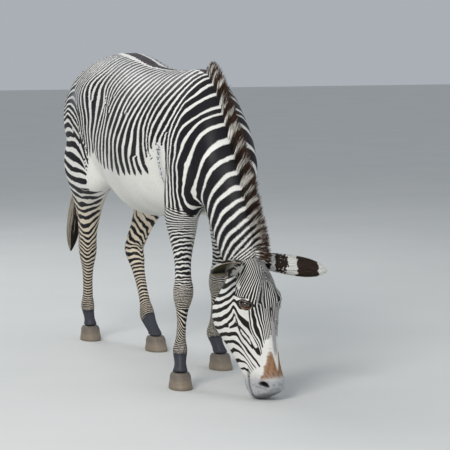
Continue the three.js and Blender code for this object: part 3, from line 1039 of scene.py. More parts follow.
@dataclass
class Face:
    """The face's forms, each placed by the head's own measures: down, out, left."""

    head: Head
    lid_thickness: float = 2.2
    opening_long: float = 23.0  # half the length of the gap between the lids
    opening_high: float = 10.5

    def eye_frame(self, side: int) -> tuple[np.ndarray, np.ndarray]:
        """The eye's centre, and its directions as rows: along the lids, up, outwards.

        Args:
            side: the value of a Side.

        Returns:
            The centre in mm, and three rows of one length each.
        """
        centre = self.head.on(self.head.eye_down, self.head.eye_out, side * self.head.eye_spread)
        down, out, left = self.head.axes
        outward = unit(left * side * 0.93 + out * 0.34 + down * 0.1)
        along = unit(down * 0.42 + out * 0.9)
        along = unit(along - outward * (along @ outward))
        upward = unit(np.cross(outward, along) * side)
        if upward @ down > 0:
            upward = -upward
        return centre, np.stack([along, upward, outward])

    def model(self, points: np.ndarray, normals: np.ndarray) -> np.ndarray:
        """Moves the head's points: bones first, then muzzle, then the lids.

        Args:
            points: places of the skin.
            normals: their normals.

        Returns:
            The moved points.
        """
        down, out, left = self.head.inside(points).T
        aside = np.abs(left)
        on_head = ramp(-10, 30, down) * ramp(700, 640, down) * ramp(175, 140, aside)
        push = self.bones(down, out, aside) + self.muzzle(down, out, aside)
        points = points + normals * (push * on_head)[:, None]
        for side in Side:
            points = self.lids(points, side.value)
        return points

    def bones(self, down: np.ndarray, out: np.ndarray, side: np.ndarray) -> np.ndarray:
        """Orbit rim, hollow above the eye, facial crest, jaw edge and nose bone, in mm outwards.

        Args:
            down: mm down the head.
            out: mm out of the face.
            side: mm from the head's middle.

        Returns:
            How far each point moves.
        """
        eye_down = self.head.eye_down
        rim = 7.5 * bump(np.hypot(down - eye_down + 4, out - 8), 36, 12)
        rim = rim * ramp(40, 75, side) * ramp(-20, 25, out)
        hollow = -7 * bump(down, eye_down - 62, 24) * bump(out, 22, 22) * ramp(45, 70, side)
        crest_line = curve(down, {150: -30, 225: -42, 330: -62, 420: -70})
        crest = 6.5 * bump(out, crest_line, 11) * ramp(205, 250, down) * ramp(400, 330, down)
        crest = crest * ramp(40, 60, side)
        cheek = 4 * bump(down, 250, 70) * bump(out, -150, 60) * ramp(50, 70, side)
        under = -5 * bump(down, 340, 60) * bump(out, -30, 26) * ramp(40, 60, side)
        jaw_line = curve(down, {150: -190, 260: -232, 330: -215, 460: -150})
        jaw = 4 * bump(out, jaw_line, 16) * ramp(120, 180, down)
        nose = 3.5 * bump(side, 0, 30) * ramp(240, 330, down) * ramp(520, 450, down) * ramp(0, 30, out)
        groove = -3.0 * bump(side, 44, 12) * ramp(300, 380, down) * ramp(500, 430, down)
        groove = groove * ramp(10, 35, out)
        return rim + hollow + crest + cheek + under + jaw + nose + groove

    def muzzle(self, down: np.ndarray, out: np.ndarray, side: np.ndarray) -> np.ndarray:
        """Nostrils with raised wings, the mouth's line, full lips and the chin, in mm outwards.

        Args:
            down: mm down the head.
            out: mm out of the face.
            side: mm from the head's middle.

        Returns:
            How far each point moves.
        """
        along, _ = self.head.slit(down, out)
        flank = ramp(26, 44, side)
        reach = self.head.nostril_reach(down, out)
        hole = -17 * ramp(1.15, 0.3, reach) * flank
        wing = 6.0 * bump(reach, 1.7, 0.6) * flank * ramp(60, 90, 90 - np.abs(along) + 30)
        line = self.head.mouth_gap(down, out)
        mouth = -6.5 * bump(line, 0, 4.2) * ramp(452, 480, down)
        upper_lip = 4.5 * bump(line, 17, 14) * ramp(500, 560, down)
        lower_lip = 3.5 * bump(line, -15, 12) * ramp(480, 540, down)
        chin = 5 * bump(down, 556, 30) * bump(line, -38, 22)
        soft = 3.5 * bump(down, 520, 34) * bump(out, -20, 30) * flank
        philtrum = -3 * bump(side, 0, 5) * ramp(560, 600, down) * ramp(-70, -40, out)
        return hole + wing + mouth + upper_lip + lower_lip + chin + soft + philtrum

    def almond(self, x: np.ndarray, y: np.ndarray) -> np.ndarray:
        """A measure of the gap between the lids: 1 at its edge, less inside it, more outside."""
        bend = y - 1.5
        high = self.opening_high * np.where(bend > 0, 0.95, 0.8)
        return np.abs(x / self.opening_long) ** 1.8 + np.abs(bend / high) ** 1.8

    def lids(self, points: np.ndarray, side: int) -> np.ndarray:
        """Wraps the skin over the eyeball and leaves an almond between the lids.

        In the eye's own axes (along, up, outward), skin over the ball goes to the ball's
        surface plus the lid's thickness; within the almond it sinks behind the ball.

        Args:
            points: places of the skin.
            side: the value of a Side.

        Returns:
            The moved points.
        """
        centre, axes = self.eye_frame(side)
        local = (points - centre) @ axes.T
        x, y, z = local.T
        radius = self.head.eye_radius
        reach = np.hypot(x, y)
        near = (reach < 60) & (z > -25)
        almond = self.almond(x, y)
        rim = bump(almond, 1.15, 0.3)
        fold = 2.4 * bump(almond, 2.3, 0.45) * ramp(-6, 2, y) + 1.6 * bump(almond, 3.6, 0.6)
        groove = -1.8 * bump(almond, 1.8, 0.25)
        lid = np.sqrt(np.maximum((radius + self.lid_thickness) ** 2 - reach**2, 0))
        lid = lid + 1.4 * rim + fold + groove
        lash = 2.2 * rim * ramp(0.5, 6.5, y)
        cover = ramp(radius + 13, radius - 1, reach)
        over = np.where(almond > 1, lid + lash, np.sqrt(np.maximum(radius**2 - reach**2, 0)) - 5)
        plain = z + fold * ramp(34, 20, reach)
        wanted = plain * (1 - cover) + np.where(almond > 1, np.maximum(over, z - 9), over) * cover
        z = np.where(near, wanted, z)
        moved = np.stack([x, y, z], 1) @ axes + centre
        return np.where(near[:, None], moved, points)


@dataclass(frozen=True)
class Muscles:
    """The shoulder, hip, flank and ribs under the coat, and the channels of rump and back."""

    blade: float = 6.0  # how high the shoulder blade stands, mm
    rib: float = 0.9
    rib_pitch: float = 58.0

    def model(self, points: np.ndarray, normals: np.ndarray) -> np.ndarray:
        """Moves the body's points along their normals by the sum of soft forms.

        Args:
            points: places of the skin.
            normals: their normals.

        Returns:
            The moved points.
        """
        x, y, z = points.T
        side = np.abs(y)
        body = ramp(420, 330, x)
        push = np.zeros(len(points))
        # shoulder blade, the hollow before it, the hollow behind the elbow; each side has its own place
        for which, shift in SHOULDERS.items():
            here = ramp(20, 60, which.value * y)
            blade = x - shift - 25 - (z - 1150) * -0.25
            push += here * self.blade * bump(blade, 0, 26) * ramp(950, 1050, z) * ramp(1400, 1300, z)
            push += here * -4 * bump(blade, 75, 30) * ramp(950, 1080, z) * ramp(1380, 1280, z)
            push += here * -7 * bump(x, shift - 150, 34) * ramp(820, 930, z) * ramp(1250, 1080, z)
        # hip bone, the hollow before it, the fold of the flank
        push += 7 * bump(x, -905, 55) * bump(z, 1372, 60) * ramp(120, 190, side)
        push += -8 * bump(x, -800, 55) * bump(z, 1290, 85) * ramp(120, 200, side)
        fold = -5 * bump(x + (z - 900) * 0.35, -800, 30) * ramp(780, 850, z)
        push += fold * ramp(1150, 1050, z) * ramp(90, 160, side)
        # ribs, faintly
        rib = np.sin((x + 0.18 * z) / self.rib_pitch * 2 * math.pi)
        rib = self.rib * rib * ramp(-700, -600, x) * ramp(-150, -230, x)
        push += rib * bump(z, 1050, 150) * ramp(150, 220, side)
        # channel between the buttocks and along the back
        push += -12 * bump(y, 0, 26) * ramp(-1300, -1360, x) * ramp(1300, 1200, z)
        push += -2.5 * bump(y, 0, 22) * ramp(-1250, -1150, x) * ramp(-80, -250, x) * ramp(1380, 1430, z)
        return points + normals * (push * body)[:, None]


# ---------------------------------------------------------------- markings


def folded(place: Place) -> np.ndarray:
    """The angle in degrees with both sides of the body taken as one: 90 crest, 180 side, 270 below."""
    return np.degrees(np.arctan2(place.up, -np.abs(place.side))) % 360


def wander(points: np.ndarray, size: float, seed: int) -> np.ndarray:
    """A soft field between about -1 and 1: the sum of six sine waves of about the given length, over 3.2.

    Args:
        points: where it is wanted.
        size: the mean length of a wave, mm.
        seed: which field.

    Returns:
        One number for each point.
    """
    rng = np.random.default_rng(SEED + seed)
    total = np.zeros(len(points))
    for _ in range(6):
        way = unit(rng.normal(size=3)) * 2 * math.pi / (size * rng.uniform(0.7, 1.5))
        total += np.sin(points @ way + rng.uniform(0, 2 * math.pi))
    return total / 3.2


def blend(a: np.ndarray, b: np.ndarray | Colour | float, share: np.ndarray) -> np.ndarray:
    """a where share is 0 and b where it is 1; colours too."""
    a, b = np.asarray(a), np.asarray(b)
    if max(a.ndim, b.ndim) > np.ndim(share):
        share = share[:, None]
    return a + (b - a) * share


@dataclass(frozen=True)
class Hair:
    """The colours of the hair, linear red, green, blue; a few, as noted at each, carry painted shade and
    painted sheen.
    """

    white: Colour = (0.80, 0.785, 0.745)
    cream: Colour = (0.70, 0.58, 0.42)
    # painted shade: the white hair under the belly, greyer
    shaded_underside: Colour = (0.60, 0.60, 0.56)
    black: Colour = (0.010, 0.009, 0.012)
    face_black: Colour = (0.012, 0.009, 0.008)
    face_brown: Colour = (0.055, 0.026, 0.015)
    dorsal: Colour = (0.062, 0.034, 0.040)
    mane_brown: Colour = (0.072, 0.034, 0.018)
    tan: Colour = (0.31, 0.155, 0.07)
    muzzle: Colour = (0.43, 0.435, 0.45)
    lip: Colour = (0.085, 0.08, 0.085)
    nose_grey: Colour = (0.40, 0.385, 0.38)
    pastern: Colour = (0.052, 0.055, 0.068)
    ear_inside: Colour = (0.105, 0.095, 0.045)
    smoke: Colour = (0.46, 0.48, 0.50)
    # the nostril's dark skin, and painted shade in its opening
    nostril: Colour = (0.012, 0.010, 0.010)
    forehead: Colour = (0.30, 0.29, 0.30)
    # painted sheen of the sky: the black hair over the top of the back, lighter and bluer
    back: Colour = (0.030, 0.025, 0.033)
    under_eye: Colour = (0.22, 0.115, 0.06)
    lid: Colour = (0.016, 0.011, 0.010)
    ear_hollow: Colour = (0.02, 0.016, 0.014)
    ear_band: Colour = (0.034, 0.020, 0.013)
    mane_black: Colour = (0.030, 0.021, 0.018)
    tail_black: Colour = (0.022, 0.016, 0.014)
    # pale strands near the tuft's top, and painted sheen on the outer strands of the tuft's right side,
    # towards the key light
    tail_pale_and_sheen: Colour = (0.45, 0.41, 0.34)


HAIR = Hair()


@dataclass(frozen=True)
class Weave:
    """Stripes given by where the middle of each white one lies at a few levels.

    A stripe runs smoothly from level to level; the phase rises by one from each living stripe
    to the next. A stripe listed in spans lives only between two levels, so it ends there and
    its neighbours close up.
    """

    levels: tuple[float, ...]
    stripes: dict[str, tuple[float, ...]]
    spans: dict[str, tuple[float, float]]
    period: float = 40.0  # beyond the first and last stripe

    def phase(self, level: np.ndarray, across: np.ndarray) -> np.ndarray:
        """The phase at points, each given by its level and its place across the stripes.

        Args:
            level: where each point is along the stripes.
            across: and across them.

        Returns:
            One number for each point.
        """
        rows = np.array(list(self.stripes.values()), float)
        order = np.argsort(self.levels)
        at = np.array(self.levels, float)[order]
        where = hermite(rows.T[order], at, np.clip(level, at[0], at[-1]))
        living = np.ones(where.shape, bool)
        for column, name in enumerate(self.stripes):
            if name in self.spans:
                low, high = self.spans[name]
                living[:, column] = (level > low) & (level < high)
        count = where.shape[1]
        before = living & (where <= across[:, None])
        after = living & ~before
        left = np.where(before.any(1), count - 1 - before[:, ::-1].argmax(1), -1)
        right = np.where(after.any(1), after.argmax(1), -1)
        line = np.arange(len(level))
        start, stop = where[line, left], where[line, right]
        share = (across - start) / np.maximum(stop - start, 1e-3)
        inner = left + np.clip(share, 0, 1)
        first = right - (stop - across) / self.period
        last = left + (across - start) / self.period
        return np.where(left < 0, first, np.where(right < 0, last, inner))


# places along the body of the white stripes from the croup to the neck, at heights on its side
SIDE_WEAVE = Weave(
    (1440, 1360, 1280, 1200, 1120, 1040, 960, 880, 800),
    {
        "croup_e": (-1025, -1095, -1110, -1080, -1060, -1060, -1060, -1060, -1060),
        "croup_d": (-1003, -1065, -1080, -1050, -1035, -1035, -1035, -1035, -1035),
        "croup_c": (-982, -1040, -1055, -1025, -1010, -1010, -1010, -1010, -1010),
        "croup_b": (-963, -1020, -1030, -1000, -985, -988, -990, -990, -990),
        "croup_a": (-944, -1000, -1005, -972, -962, -968, -972, -972, -972),
        "hip_f": (-925, -975, -977, -945, -940, -950, -955, -955, -955),
        "hip_e": (-902, -945, -935, -892, -905, -925, -935, -935, -935),
        "hip_d": (-870, -903, -877, -848, -870, -893, -908, -908, -908),
        "hip_c": (-838, -866, -862, -830, -840, -870, -890, -890, -890),
        "hip_b": (-807, -826, -797, -781, -806, -848, -870, -870, -870),
        "hip_a": (-768, -776, -703, -707, -747, -790, -818, -818, -818),
        "loin_f": (-733, -735, -690, -660, -692, -727, -762, -762, -762),
        "loin_e": (-697, -703, -668, -633, -645, -660, -694, -694, -694),
        "loin_d": (-662, -672, -650, -622, -625, -640, -670, -670, -670),
        "loin_c": (-622, -633, -636, -614, -612, -622, -650, -650, -650),
        "loin_b": (-577, -594, -612, -606, -603, -610, -640, -640, -640),
        "loin_a": (-518, -540, -562, -583, -594, -602, -628, -650, -650),
        "rib_a": (-462, -484, -491, -503, -530, -538, -556, -570, -570),
        "rib_b": (-408, -424, -429, -437, -465, -472, -478, -490, -490),
        "rib_c": (-353, -366, -388, -404, -432, -440, -442, -450, -450),
        "rib_d": (-306, -318, -340, -373, -405, -414, -406, -400, -400),
        "rib_e": (-264, -272, -292, -322, -341, -353, -345, -340, -340),
        "rib_f": (-224, -234, -250, -267, -276, -299, -290, -285, -285),
        "rib_g": (-200, -215, -232, -247, -250, -254, -238, -230, -230),
        "rib_h": (-164, -193, -212, -227, -217, -204, -180, -170, -170),
        "rib_i": (-112, -150, -173, -188, -176, -150, -126, -115, -115),
        "rib_j": (-62, -99, -135, -157, -153, -133, -112, -100, -100),
        "arm_a": (-18, -48, -88, -127, -135, -122, -100, -85, -80),
        "arm_b": (18, -8, -43, -72, -108, -105, -85, -65, -55),
        "arm_c": (56, 35, 1, -25, -66, -70, -60, -40, -30),
        "arm_d": (80, 55, 18, -12, -32, -30, -22, -5, 0),
        "arm_e": (110, 84, 31, 3, -4, -6, 32, 60, 60),
        "arm_f": (185, 150, 78, 31, 13, 14, 72, 98, 95),
        "foot_a": (250, 232, 184, 85, 45, 66, 101, 122, 125),
        "foot_b": (290, 270, 226, 151, 108, 107, 131, 145, 150),
        "foot_c": (325, 305, 268, 228, 185, 156, 164, 167, 175),
        "foot_d": (355, 335, 305, 284, 276, 243, 201, 187, 195),
        "neck_a": (385, 368, 352, 340, 330, 305, 262, 207, 212),
        "neck_b": (415, 400, 390, 380, 370, 357, 327, 266, 235),
        "neck_c": (445, 435, 425, 418, 405, 392, 370, 320, 285),
        "neck_d": (475, 465, 458, 450, 440, 430, 408, 370, 333),
    },
    {
        "hip_c": (1286, 1600), "loin_d": (1268, 1600), "loin_c": (1312, 1600), "loin_b": (1235, 1600),
        "rib_c": (1240, 1600), "rib_g": (0, 1048), "rib_j": (1052, 1600), "arm_a": (1062, 1600),
        "arm_b": (1088, 1600), "arm_c": (1105, 1600), "arm_d": (0, 1170),
    },
)  # fmt: skip

# heights of the white stripes of the haunch, at places along the body
HAUNCH_WEAVE = Weave(
    (-1240, -1180, -1120, -1060, -1000, -950, -910),
    {
        "thigh_c": (850, 832, 815, 803, 800, 810, 830),
        "thigh_b": (892, 878, 866, 858, 852, 856, 860),
        "thigh_a": (950, 938, 924, 911, 907, 900, 880),
        "level_a": (988, 976, 973, 961, 948, 928, 893),
        "level_b": (1028, 1024, 1031, 1030, 1003, 950, 906),
        "level_c": (1076, 1082, 1083, 1071, 1043, 976, 918),
        "level_d": (1118, 1130, 1129, 1096, 1056, 992, 925),
        "chevron_a": (1156, 1168, 1177, 1121, 1074, 1008, 932),
        "chevron_b": (1186, 1195, 1218, 1177, 1118, 1022, 945),
        "chevron_c": (1210, 1218, 1240, 1214, 1150, 1052, 965),
        "chevron_d": (1232, 1240, 1262, 1250, 1186, 1084, 988),
        "chevron_e": (1254, 1264, 1290, 1290, 1228, 1120, 1015),
        "chevron_f": (1278, 1290, 1322, 1330, 1275, 1160, 1045),
        "chevron_g": (1304, 1318, 1356, 1370, 1320, 1205, 1080),
    },
    {"level_d": (-1400, -1085), "chevron_a": (-1400, -1020)},
    28.0,
)  # fmt: skip


# the face's white lines at stations down the head: the angle from its middle, with the
# distance behind the whorl added, so that behind it the lines close round the forehead
FACE_WEAVE = Weave(
    levels=(3.6, 4.6, 5.0, 6.0, 7.0, 8.2),
    stripes={
        "middle": (0, 0, 0, 0, 0, 0),
        "inner": (6, 6, 6.5, 8, 7, 8),
        "bridge": (11, 12, 13, 13.5, 13, 14),
        "bridge_fork": (13.5, 15, 17, 17.5, 18, 18.5),
        "slope": (16, 20, 22.5, 22, 22.5, 23),
        "slope_fork": (18, 26, 28.5, 28, 27, 27),
        "side_a": (21.5, 31, 35, 36, 32, 31.5),
        "side_b": (27.5, 37, 41, 42, 38.5, 37),
        "side_c": (33.5, 43, 47, 52.5, 54, 45),
        "side_d": (40, 50, 53, 57, 58.5, 50),
        "over_a": (46.5, 57, 60, 63, 64, 57),
        "over_b": (53, 64, 66, 70, 70, 64),
        "over_c": (59.5, 70, 72, 76, 76, 70),
        "over_d": (66, 76, 78, 82, 82, 76),
        "over_e": (73, 82, 84, 88, 88, 82),
        "over_f": (80, 88, 90, 94, 94, 88),
        "temple_a": (88, 94, 97, 101, 101, 95),
        "temple_b": (96, 101, 105, 109, 109, 102),
        "temple_c": (105, 110, 114, 118, 118, 111),
        "temple_d": (114, 120, 124, 128, 128, 121),
        "nape_a": (124, 130, 134, 138, 138, 131),
        "nape_b": (134, 140, 144, 148, 148, 141),
    },
    spans={"middle": (-9, 5.6), "bridge_fork": (5.7, 8.9), "slope_fork": (5.25, 9.5)},
    period=9,
)

# the stations down the head of the cheek's white bands, at angles round it
CHEEK_WEAVE = Weave(
    levels=(150, 155, 160, 165, 170, 175, 180, 185, 190, 200, 235, 270),
    stripes={
        "jaw_a": (3.2, 3.2, 3.1, 3.0, 2.9, 2.8, 2.7, 2.75, 2.8, 2.95, 2.9, 2.8),
        "jaw_b": (3.8, 3.7, 3.6, 3.5, 3.4, 3.35, 3.3, 3.35, 3.45, 3.67, 3.7, 3.6),
        "jaw_c": (4.3, 4.2, 4.1, 4.0, 3.9, 3.8, 3.7, 3.85, 4.02, 4.22, 4.25, 4.2),
        "brow": (4.74, 4.72, 4.7, 4.66, 4.58, 4.45, 4.36, 4.56, 4.7, 4.86, 4.9, 4.85),
        "under_eye": (5.9, 5.82, 5.72, 5.52, 5.2, 4.95, 4.9, 5.15, 5.33, 5.53, 5.55, 5.5),
        "side_a": (8.0, 7.4, 7.15, 6.8, 6.4, 5.9, 5.45, 5.72, 5.94, 6.16, 6.2, 6.15),
        "fork": (8.2, 7.7, 7.4, 7.1, 6.7, 6.3, 6.0, 6.28, 6.43, 6.6, 6.6, 6.6),
        "twig": (8.4, 8.1, 7.8, 7.4, 7.0, 6.9, 6.6, 6.6, 6.7, 6.7, 6.7, 6.7),
        "side_b": (9.3, 8.9, 8.55, 8.25, 7.9, 7.55, 7.05, 6.84, 6.81, 6.81, 6.8, 6.8),
        "side_c": (10.4, 10.1, 9.8, 9.5, 9.2, 8.9, 8.3, 7.7, 7.54, 7.46, 7.4, 7.4),
        "front_a": (10.9, 10.6, 10.3, 10.0, 9.8, 9.5, 9.1, 8.7, 8.4, 8.09, 8.1, 8.05),
        "front_b": (11.4, 11.1, 10.8, 10.5, 10.3, 10.1, 9.8, 9.4, 9.1, 8.8, 8.75, 8.7),
        "front_c": (11.9, 11.6, 11.3, 11.1, 10.9, 10.6, 10.3, 10.0, 9.7, 9.5, 9.4, 9.4),
    },
    spans={"fork": (179.5, 195), "twig": (157, 170.5)},
    period=0.6,
)

MARK_NAMES = ("phases", "last", "mixes", "white", "light", "dark", "upright")


@dataclass
class Marks:
    """What the stripes are made of at each point.

    Four phases, each whole at the middle of a white stripe; three shares that mix their
    waves in turn; the part of each period that is white; the two hair colours; and the
    way that the fibres run.
    """

    phases: np.ndarray  # first, second, third
    last: np.ndarray
    mixes: np.ndarray  # of the second, third and last wave
    white: np.ndarray
    light: np.ndarray
    dark: np.ndarray
    upright: np.ndarray  # how far the fibres run down rather than along the body

    def taken(self, rows: np.ndarray) -> Marks:
        """The marks of some points."""
        return Marks(*(getattr(self, name)[rows] for name in MARK_NAMES))

    def paint(self, share: np.ndarray, **values: np.ndarray | Colour | float) -> None:
        """Blends values into the marks of the same names, by a share for each point."""
        for name, value in values.items():
            setattr(self, name, blend(getattr(self, name), value, share))

    def over(self) -> np.ndarray:
        """How far the mixed wave is over its bar: more than 0 in white hair, near 0 at an edge."""
        wave = np.cos(2 * math.pi * self.phases[:, 0])
        others = (self.phases[:, 1], self.phases[:, 2], self.last)
        for share, phase in zip(self.mixes.T, others):
            wave = blend(wave, np.cos(2 * math.pi * phase), share)
        return wave - BAR * np.cos(math.pi * np.clip(self.white, 0, 1))

    def store(self, mesh: bpy.types.Mesh) -> None:
        """Puts the marks on a mesh's points as the attributes that the coat's shader reads."""
        put_corners(mesh, "phases", self.phases)
        put_values(mesh, "mixes", self.mixes)
        put_values(mesh, "last", np.stack([self.last, self.white, self.upright], 1))
        put_values(mesh, "light", self.light)
        put_values(mesh, "dark", self.dark)


@dataclass
class Markings:
    """The stripes of the whole animal as smooth fields of its own measures."""

    anatomy: Anatomy

    # neck stations against the count
    neck_count = {
        -2.0: -8, 0.0: -3, 0.7: -1, 1.1: 0, 1.45: 1, 1.9: 2, 2.3: 3, 2.7: 4, 3.05: 5, 3.6: 6, 4.1: 7, 4.55: 8,
        4.95: 9, 5.3: 10, 5.62: 11, 5.92: 12, 6.2: 13, 6.5: 14, 6.75: 15, 7.4: 18, 8.0: 21, 9.0: 26,
    }
    # how many stations each band of the neck sweeps back down the side, along the stations
    neck_sweep = {0: 2.9, 1: 2.15, 2: 1.4, 3: 0.85, 4: 0.45, 5: 0.15, 5.5: 0, 6: -0.22, 7: -0.6, 8: -0.8}
    # stations of the legs against the count
    fore_count = {
        0: -22, 2: -13, 3.5: -5, 4.5: 0, 9: 20, 10: 26, 11: 31, 12: 35.5, 13: 40, 14: 45, 15: 51, 17: 62,
    }
    hind_count = {
        0: -3, 1: 0, 2: 2.1, 3: 5.2, 4: 6.75, 4.8: 8, 5.35: 9, 6.4: 11, 7.35: 13, 8.3: 15, 9.3: 17, 10.4: 19,
        11.05: 21, 12: 26, 13: 31, 14: 36, 15: 41, 17: 50,
    }
    # heights against the place along the body of the haunch's front edge
    haunch_edge = {
        850: -885, 900: -890, 950: -915, 1000: -938, 1100: -958, 1200: -985, 1300: -1052, 1400: -1120,
    }
    # places along the body against the height of the belly's white
    belly_edge = {
        -1010: 700, -965: 800, -945: 900, -925: 960, -900: 998, -850: 985, -790: 955, -700: 938, -600: 928,
        -400: 920, -250: 924, -150: 938, -120: 990, -92: 1062, -60: 1075, -38: 1010, -20: 900, 40: 760,
    }
    # stations of the head against the angle where the face's lines meet the cheek's bands
    cheek_edge = {
        2.5: 182, 3.8: 179, 4.25: 174, 4.45: 165, 4.56: 150, 4.7: 142, 5.3: 141, 5.6: 145, 6: 148, 7: 150,
        8: 146, 8.5: 141, 10: 135,
    }
    # angles round the head against the station where its stripes stop
    stripes_end = {90: 6.0, 97: 7.5, 102: 8.0, 120: 8.1, 135: 8.7, 150: 9.9, 175: 10.1, 200: 10.6, 260: 9}
    tan_inner = {8.7: 17, 9.3: 11, 9.9: 5, 10.4: -4}  # stations against the spread of the tan patch
    tan_outer = {8.7: 25, 9.0: 33, 9.5: 42, 10.2: 57, 10.8: 66}

    def at(self, points: np.ndarray, places: dict[str, Place] | None = None) -> Marks:
        """The marks at points of the skin.

        Args:
            points: places in the animal's frame.
            places: their places in the lofts, where these are known already.

        Returns:
            The marks: the body's first, then those of legs, tail, head and ears over them.
        """
        places = places or self.anatomy.places(points)
        count = len(points)
        neck = places["neck"]
        x, _, z = points.T
        soft = 5.0 * wander(points, 150, 1) + 1.6 * wander(points, 40, 2)
        phases = np.zeros((count, 3))
        mixes = np.zeros((count, 3))
        phases[:, 0] = SIDE_WEAVE.phase(z, x + soft)
        phases[:, 1] = HAUNCH_WEAVE.phase(x, z + soft)
        edge = curve(z, self.haunch_edge)
        mixes[:, 0] = ramp(edge + 7, edge - 7, x + 0.8 * soft)
        phases[:, 2] = self.neck_phase(neck.station, folded(neck)) + 37 + 0.10 * wander(points, 90, 3)
        mixes[:, 1] = ramp(36.8, 38.2, phases[:, 0]) * (x > 150)
        mixes[:, 1] = np.maximum(mixes[:, 1], (x > 190) * ramp(830, 780, z))
        last = np.zeros(count)
        light = np.tile(HAIR.white, (count, 1))
        dark = np.tile(HAIR.black, (count, 1))
        white = self.trunk_white(points)
        neck_white = curve(neck.station, {0: 0.38, 1.5: 0.35, 3.5: 0.33, 6: 0.4, 8: 0.46})
        white = blend(white, neck_white, ramp(-120, 0, x - 0.3 * (1440 - z)) * ramp(-60, 20, x))
        upright = 0.5 * ramp(150, 260, x)
        marks = Marks(phases, last, mixes, white, light, dark, upright)
        for limb in LIMBS:
            self.mark_limb(marks, points, places[limb.name], limb)
        self.mark_dorsal(marks, points, places)
        self.mark_tail(marks, places["tail"])
        self.mark_head(marks, points, places)
        for ear in EARS:
            self.mark_ear(marks, points, ear)
        marks.upright = np.maximum(marks.upright, marks.mixes[:, 2])
        marks.light = np.clip(marks.light * (1 + 0.05 * wander(points, 300, 9))[:, None], 0, 0.86)
        return marks

    def neck_phase(self, station: np.ndarray, angle: np.ndarray) -> np.ndarray:
        """Bands of the neck: those at its foot sweep down and back over the shoulder."""
        sweep = curve(station, self.neck_sweep)
        bend = (np.maximum(angle - 98, 0) / 82) ** 0.8
        return smooth_curve(station + sweep * bend, self.neck_count)

    def trunk_white(self, points: np.ndarray) -> np.ndarray:
        """The white part of each period over the trunk; it grows to the whole on the belly.

        Args:
            points: places in the animal's frame.

        Returns:
            A share for each; over 1 is white without a stripe.
        """
        white = curve(points[:, 2], {950: 0.47, 1050: 0.43, 1150: 0.41, 1300: 0.41, 1400: 0.42, 1460: 0.4})
        white = white + 0.03 * wander(points, 200, 4)
        x, _, z = points.T
        edge = curve(x, self.belly_edge) + 5 * wander(points, 60, 5)
        bare = ramp(edge + 62, edge - 2, z) ** 1.2
        return blend(white, np.full(len(white), 1.08), bare)

    def mark_limb(self, marks: Marks, points: np.ndarray, leg: Place, limb: Limb) -> None:
        """Level bands round a leg, ragged at its joints and bent at the hock, over slate pasterns.

        Args:
            marks: changed in place.
            points: places in the animal's frame.
            leg: their places in the leg's loft.
            limb: the leg.
        """
        side = points[:, 1] * limb.side.value > 0
        outer = np.degrees(np.arctan2(leg.up, leg.side * limb.side.value))
        level = np.radians(outer)
        s = leg.station
        jitter = wander(points, 34, 11) * curve(s, {4: 0.3, 8: 0.5, 10: 0.55, 11: 0.3, 14: 0.3})
        inner = ramp(0.0, 0.75, -np.cos(level)) * ramp(7.0, 4.5, s)
        if limb.pair is Pair.HIND:
            tilt = curve(s, {0: 0, 2: 0.25, 4: 0.6, 7: 0.5, 8: 0.2, 9: 0})
            shift = -tilt * np.cos(np.radians(outer - 10))
            shift = shift - 0.55 * bump(outer, 68, 26) * bump(s, 8.9, 1.6)
            shift = shift - 0.35 * bump(outer, -95, 30) * bump(s, 9.5, 2)
            phase = smooth_curve(s + shift, self.hind_count) + 0.22 * wander(points, 70, 12) + 0.2 * jitter
            own = ramp(860, 800, points[:, 2]) * ramp(30, 0, leg.gap)
            white = blend(curve(s, {2: 0.44, 4: 0.47, 8: 0.48, 11: 0.46, 13: 0.42, 14.4: 0.34}), 1.05, inner)
            cream = 0.75 * ramp(3.5, 6.5, s)
        else:
            shift = 0.25 * np.sin(level) * bump(s, 5.5, 2)
            shift = shift - 0.5 * np.sin(np.radians(outer - 40)) * bump(s, 12.3, 1)
            shift = shift - 0.0045 * (points[:, 0] - SHOULDERS[limb.side]) * ramp(5.8, 4.0, s)
            phase = smooth_curve(s + shift, self.fore_count) + 0.5 * jitter + 0.1 * wander(points, 60, 13)
            own = ramp(3.4, 4.4, s + 0.4 * np.cos(level)) * ramp(70, 20, leg.gap)
            white = blend(curve(s, {3: 0.42, 6: 0.44, 8: 0.42, 11: 0.38, 14: 0.34}), 0.9, 0.7 * inner)
            cream = 0.5 * ramp(7, 10, s)
        own = own * side * (leg.gap < 90)
        hoof_end = ramp(14.35, 14.9, s + 0.12 * wander(points, 30, 14))
        marks.last = np.where(own > 0, phase, marks.last)
        marks.mixes[:, 2] = np.where(own > 0, own, marks.mixes[:, 2])
        marks.paint(own, white=white * (1 - hoof_end))
        marks.paint(cream * own, light=HAIR.cream)
        marks.paint(hoof_end * own, dark=HAIR.pastern)

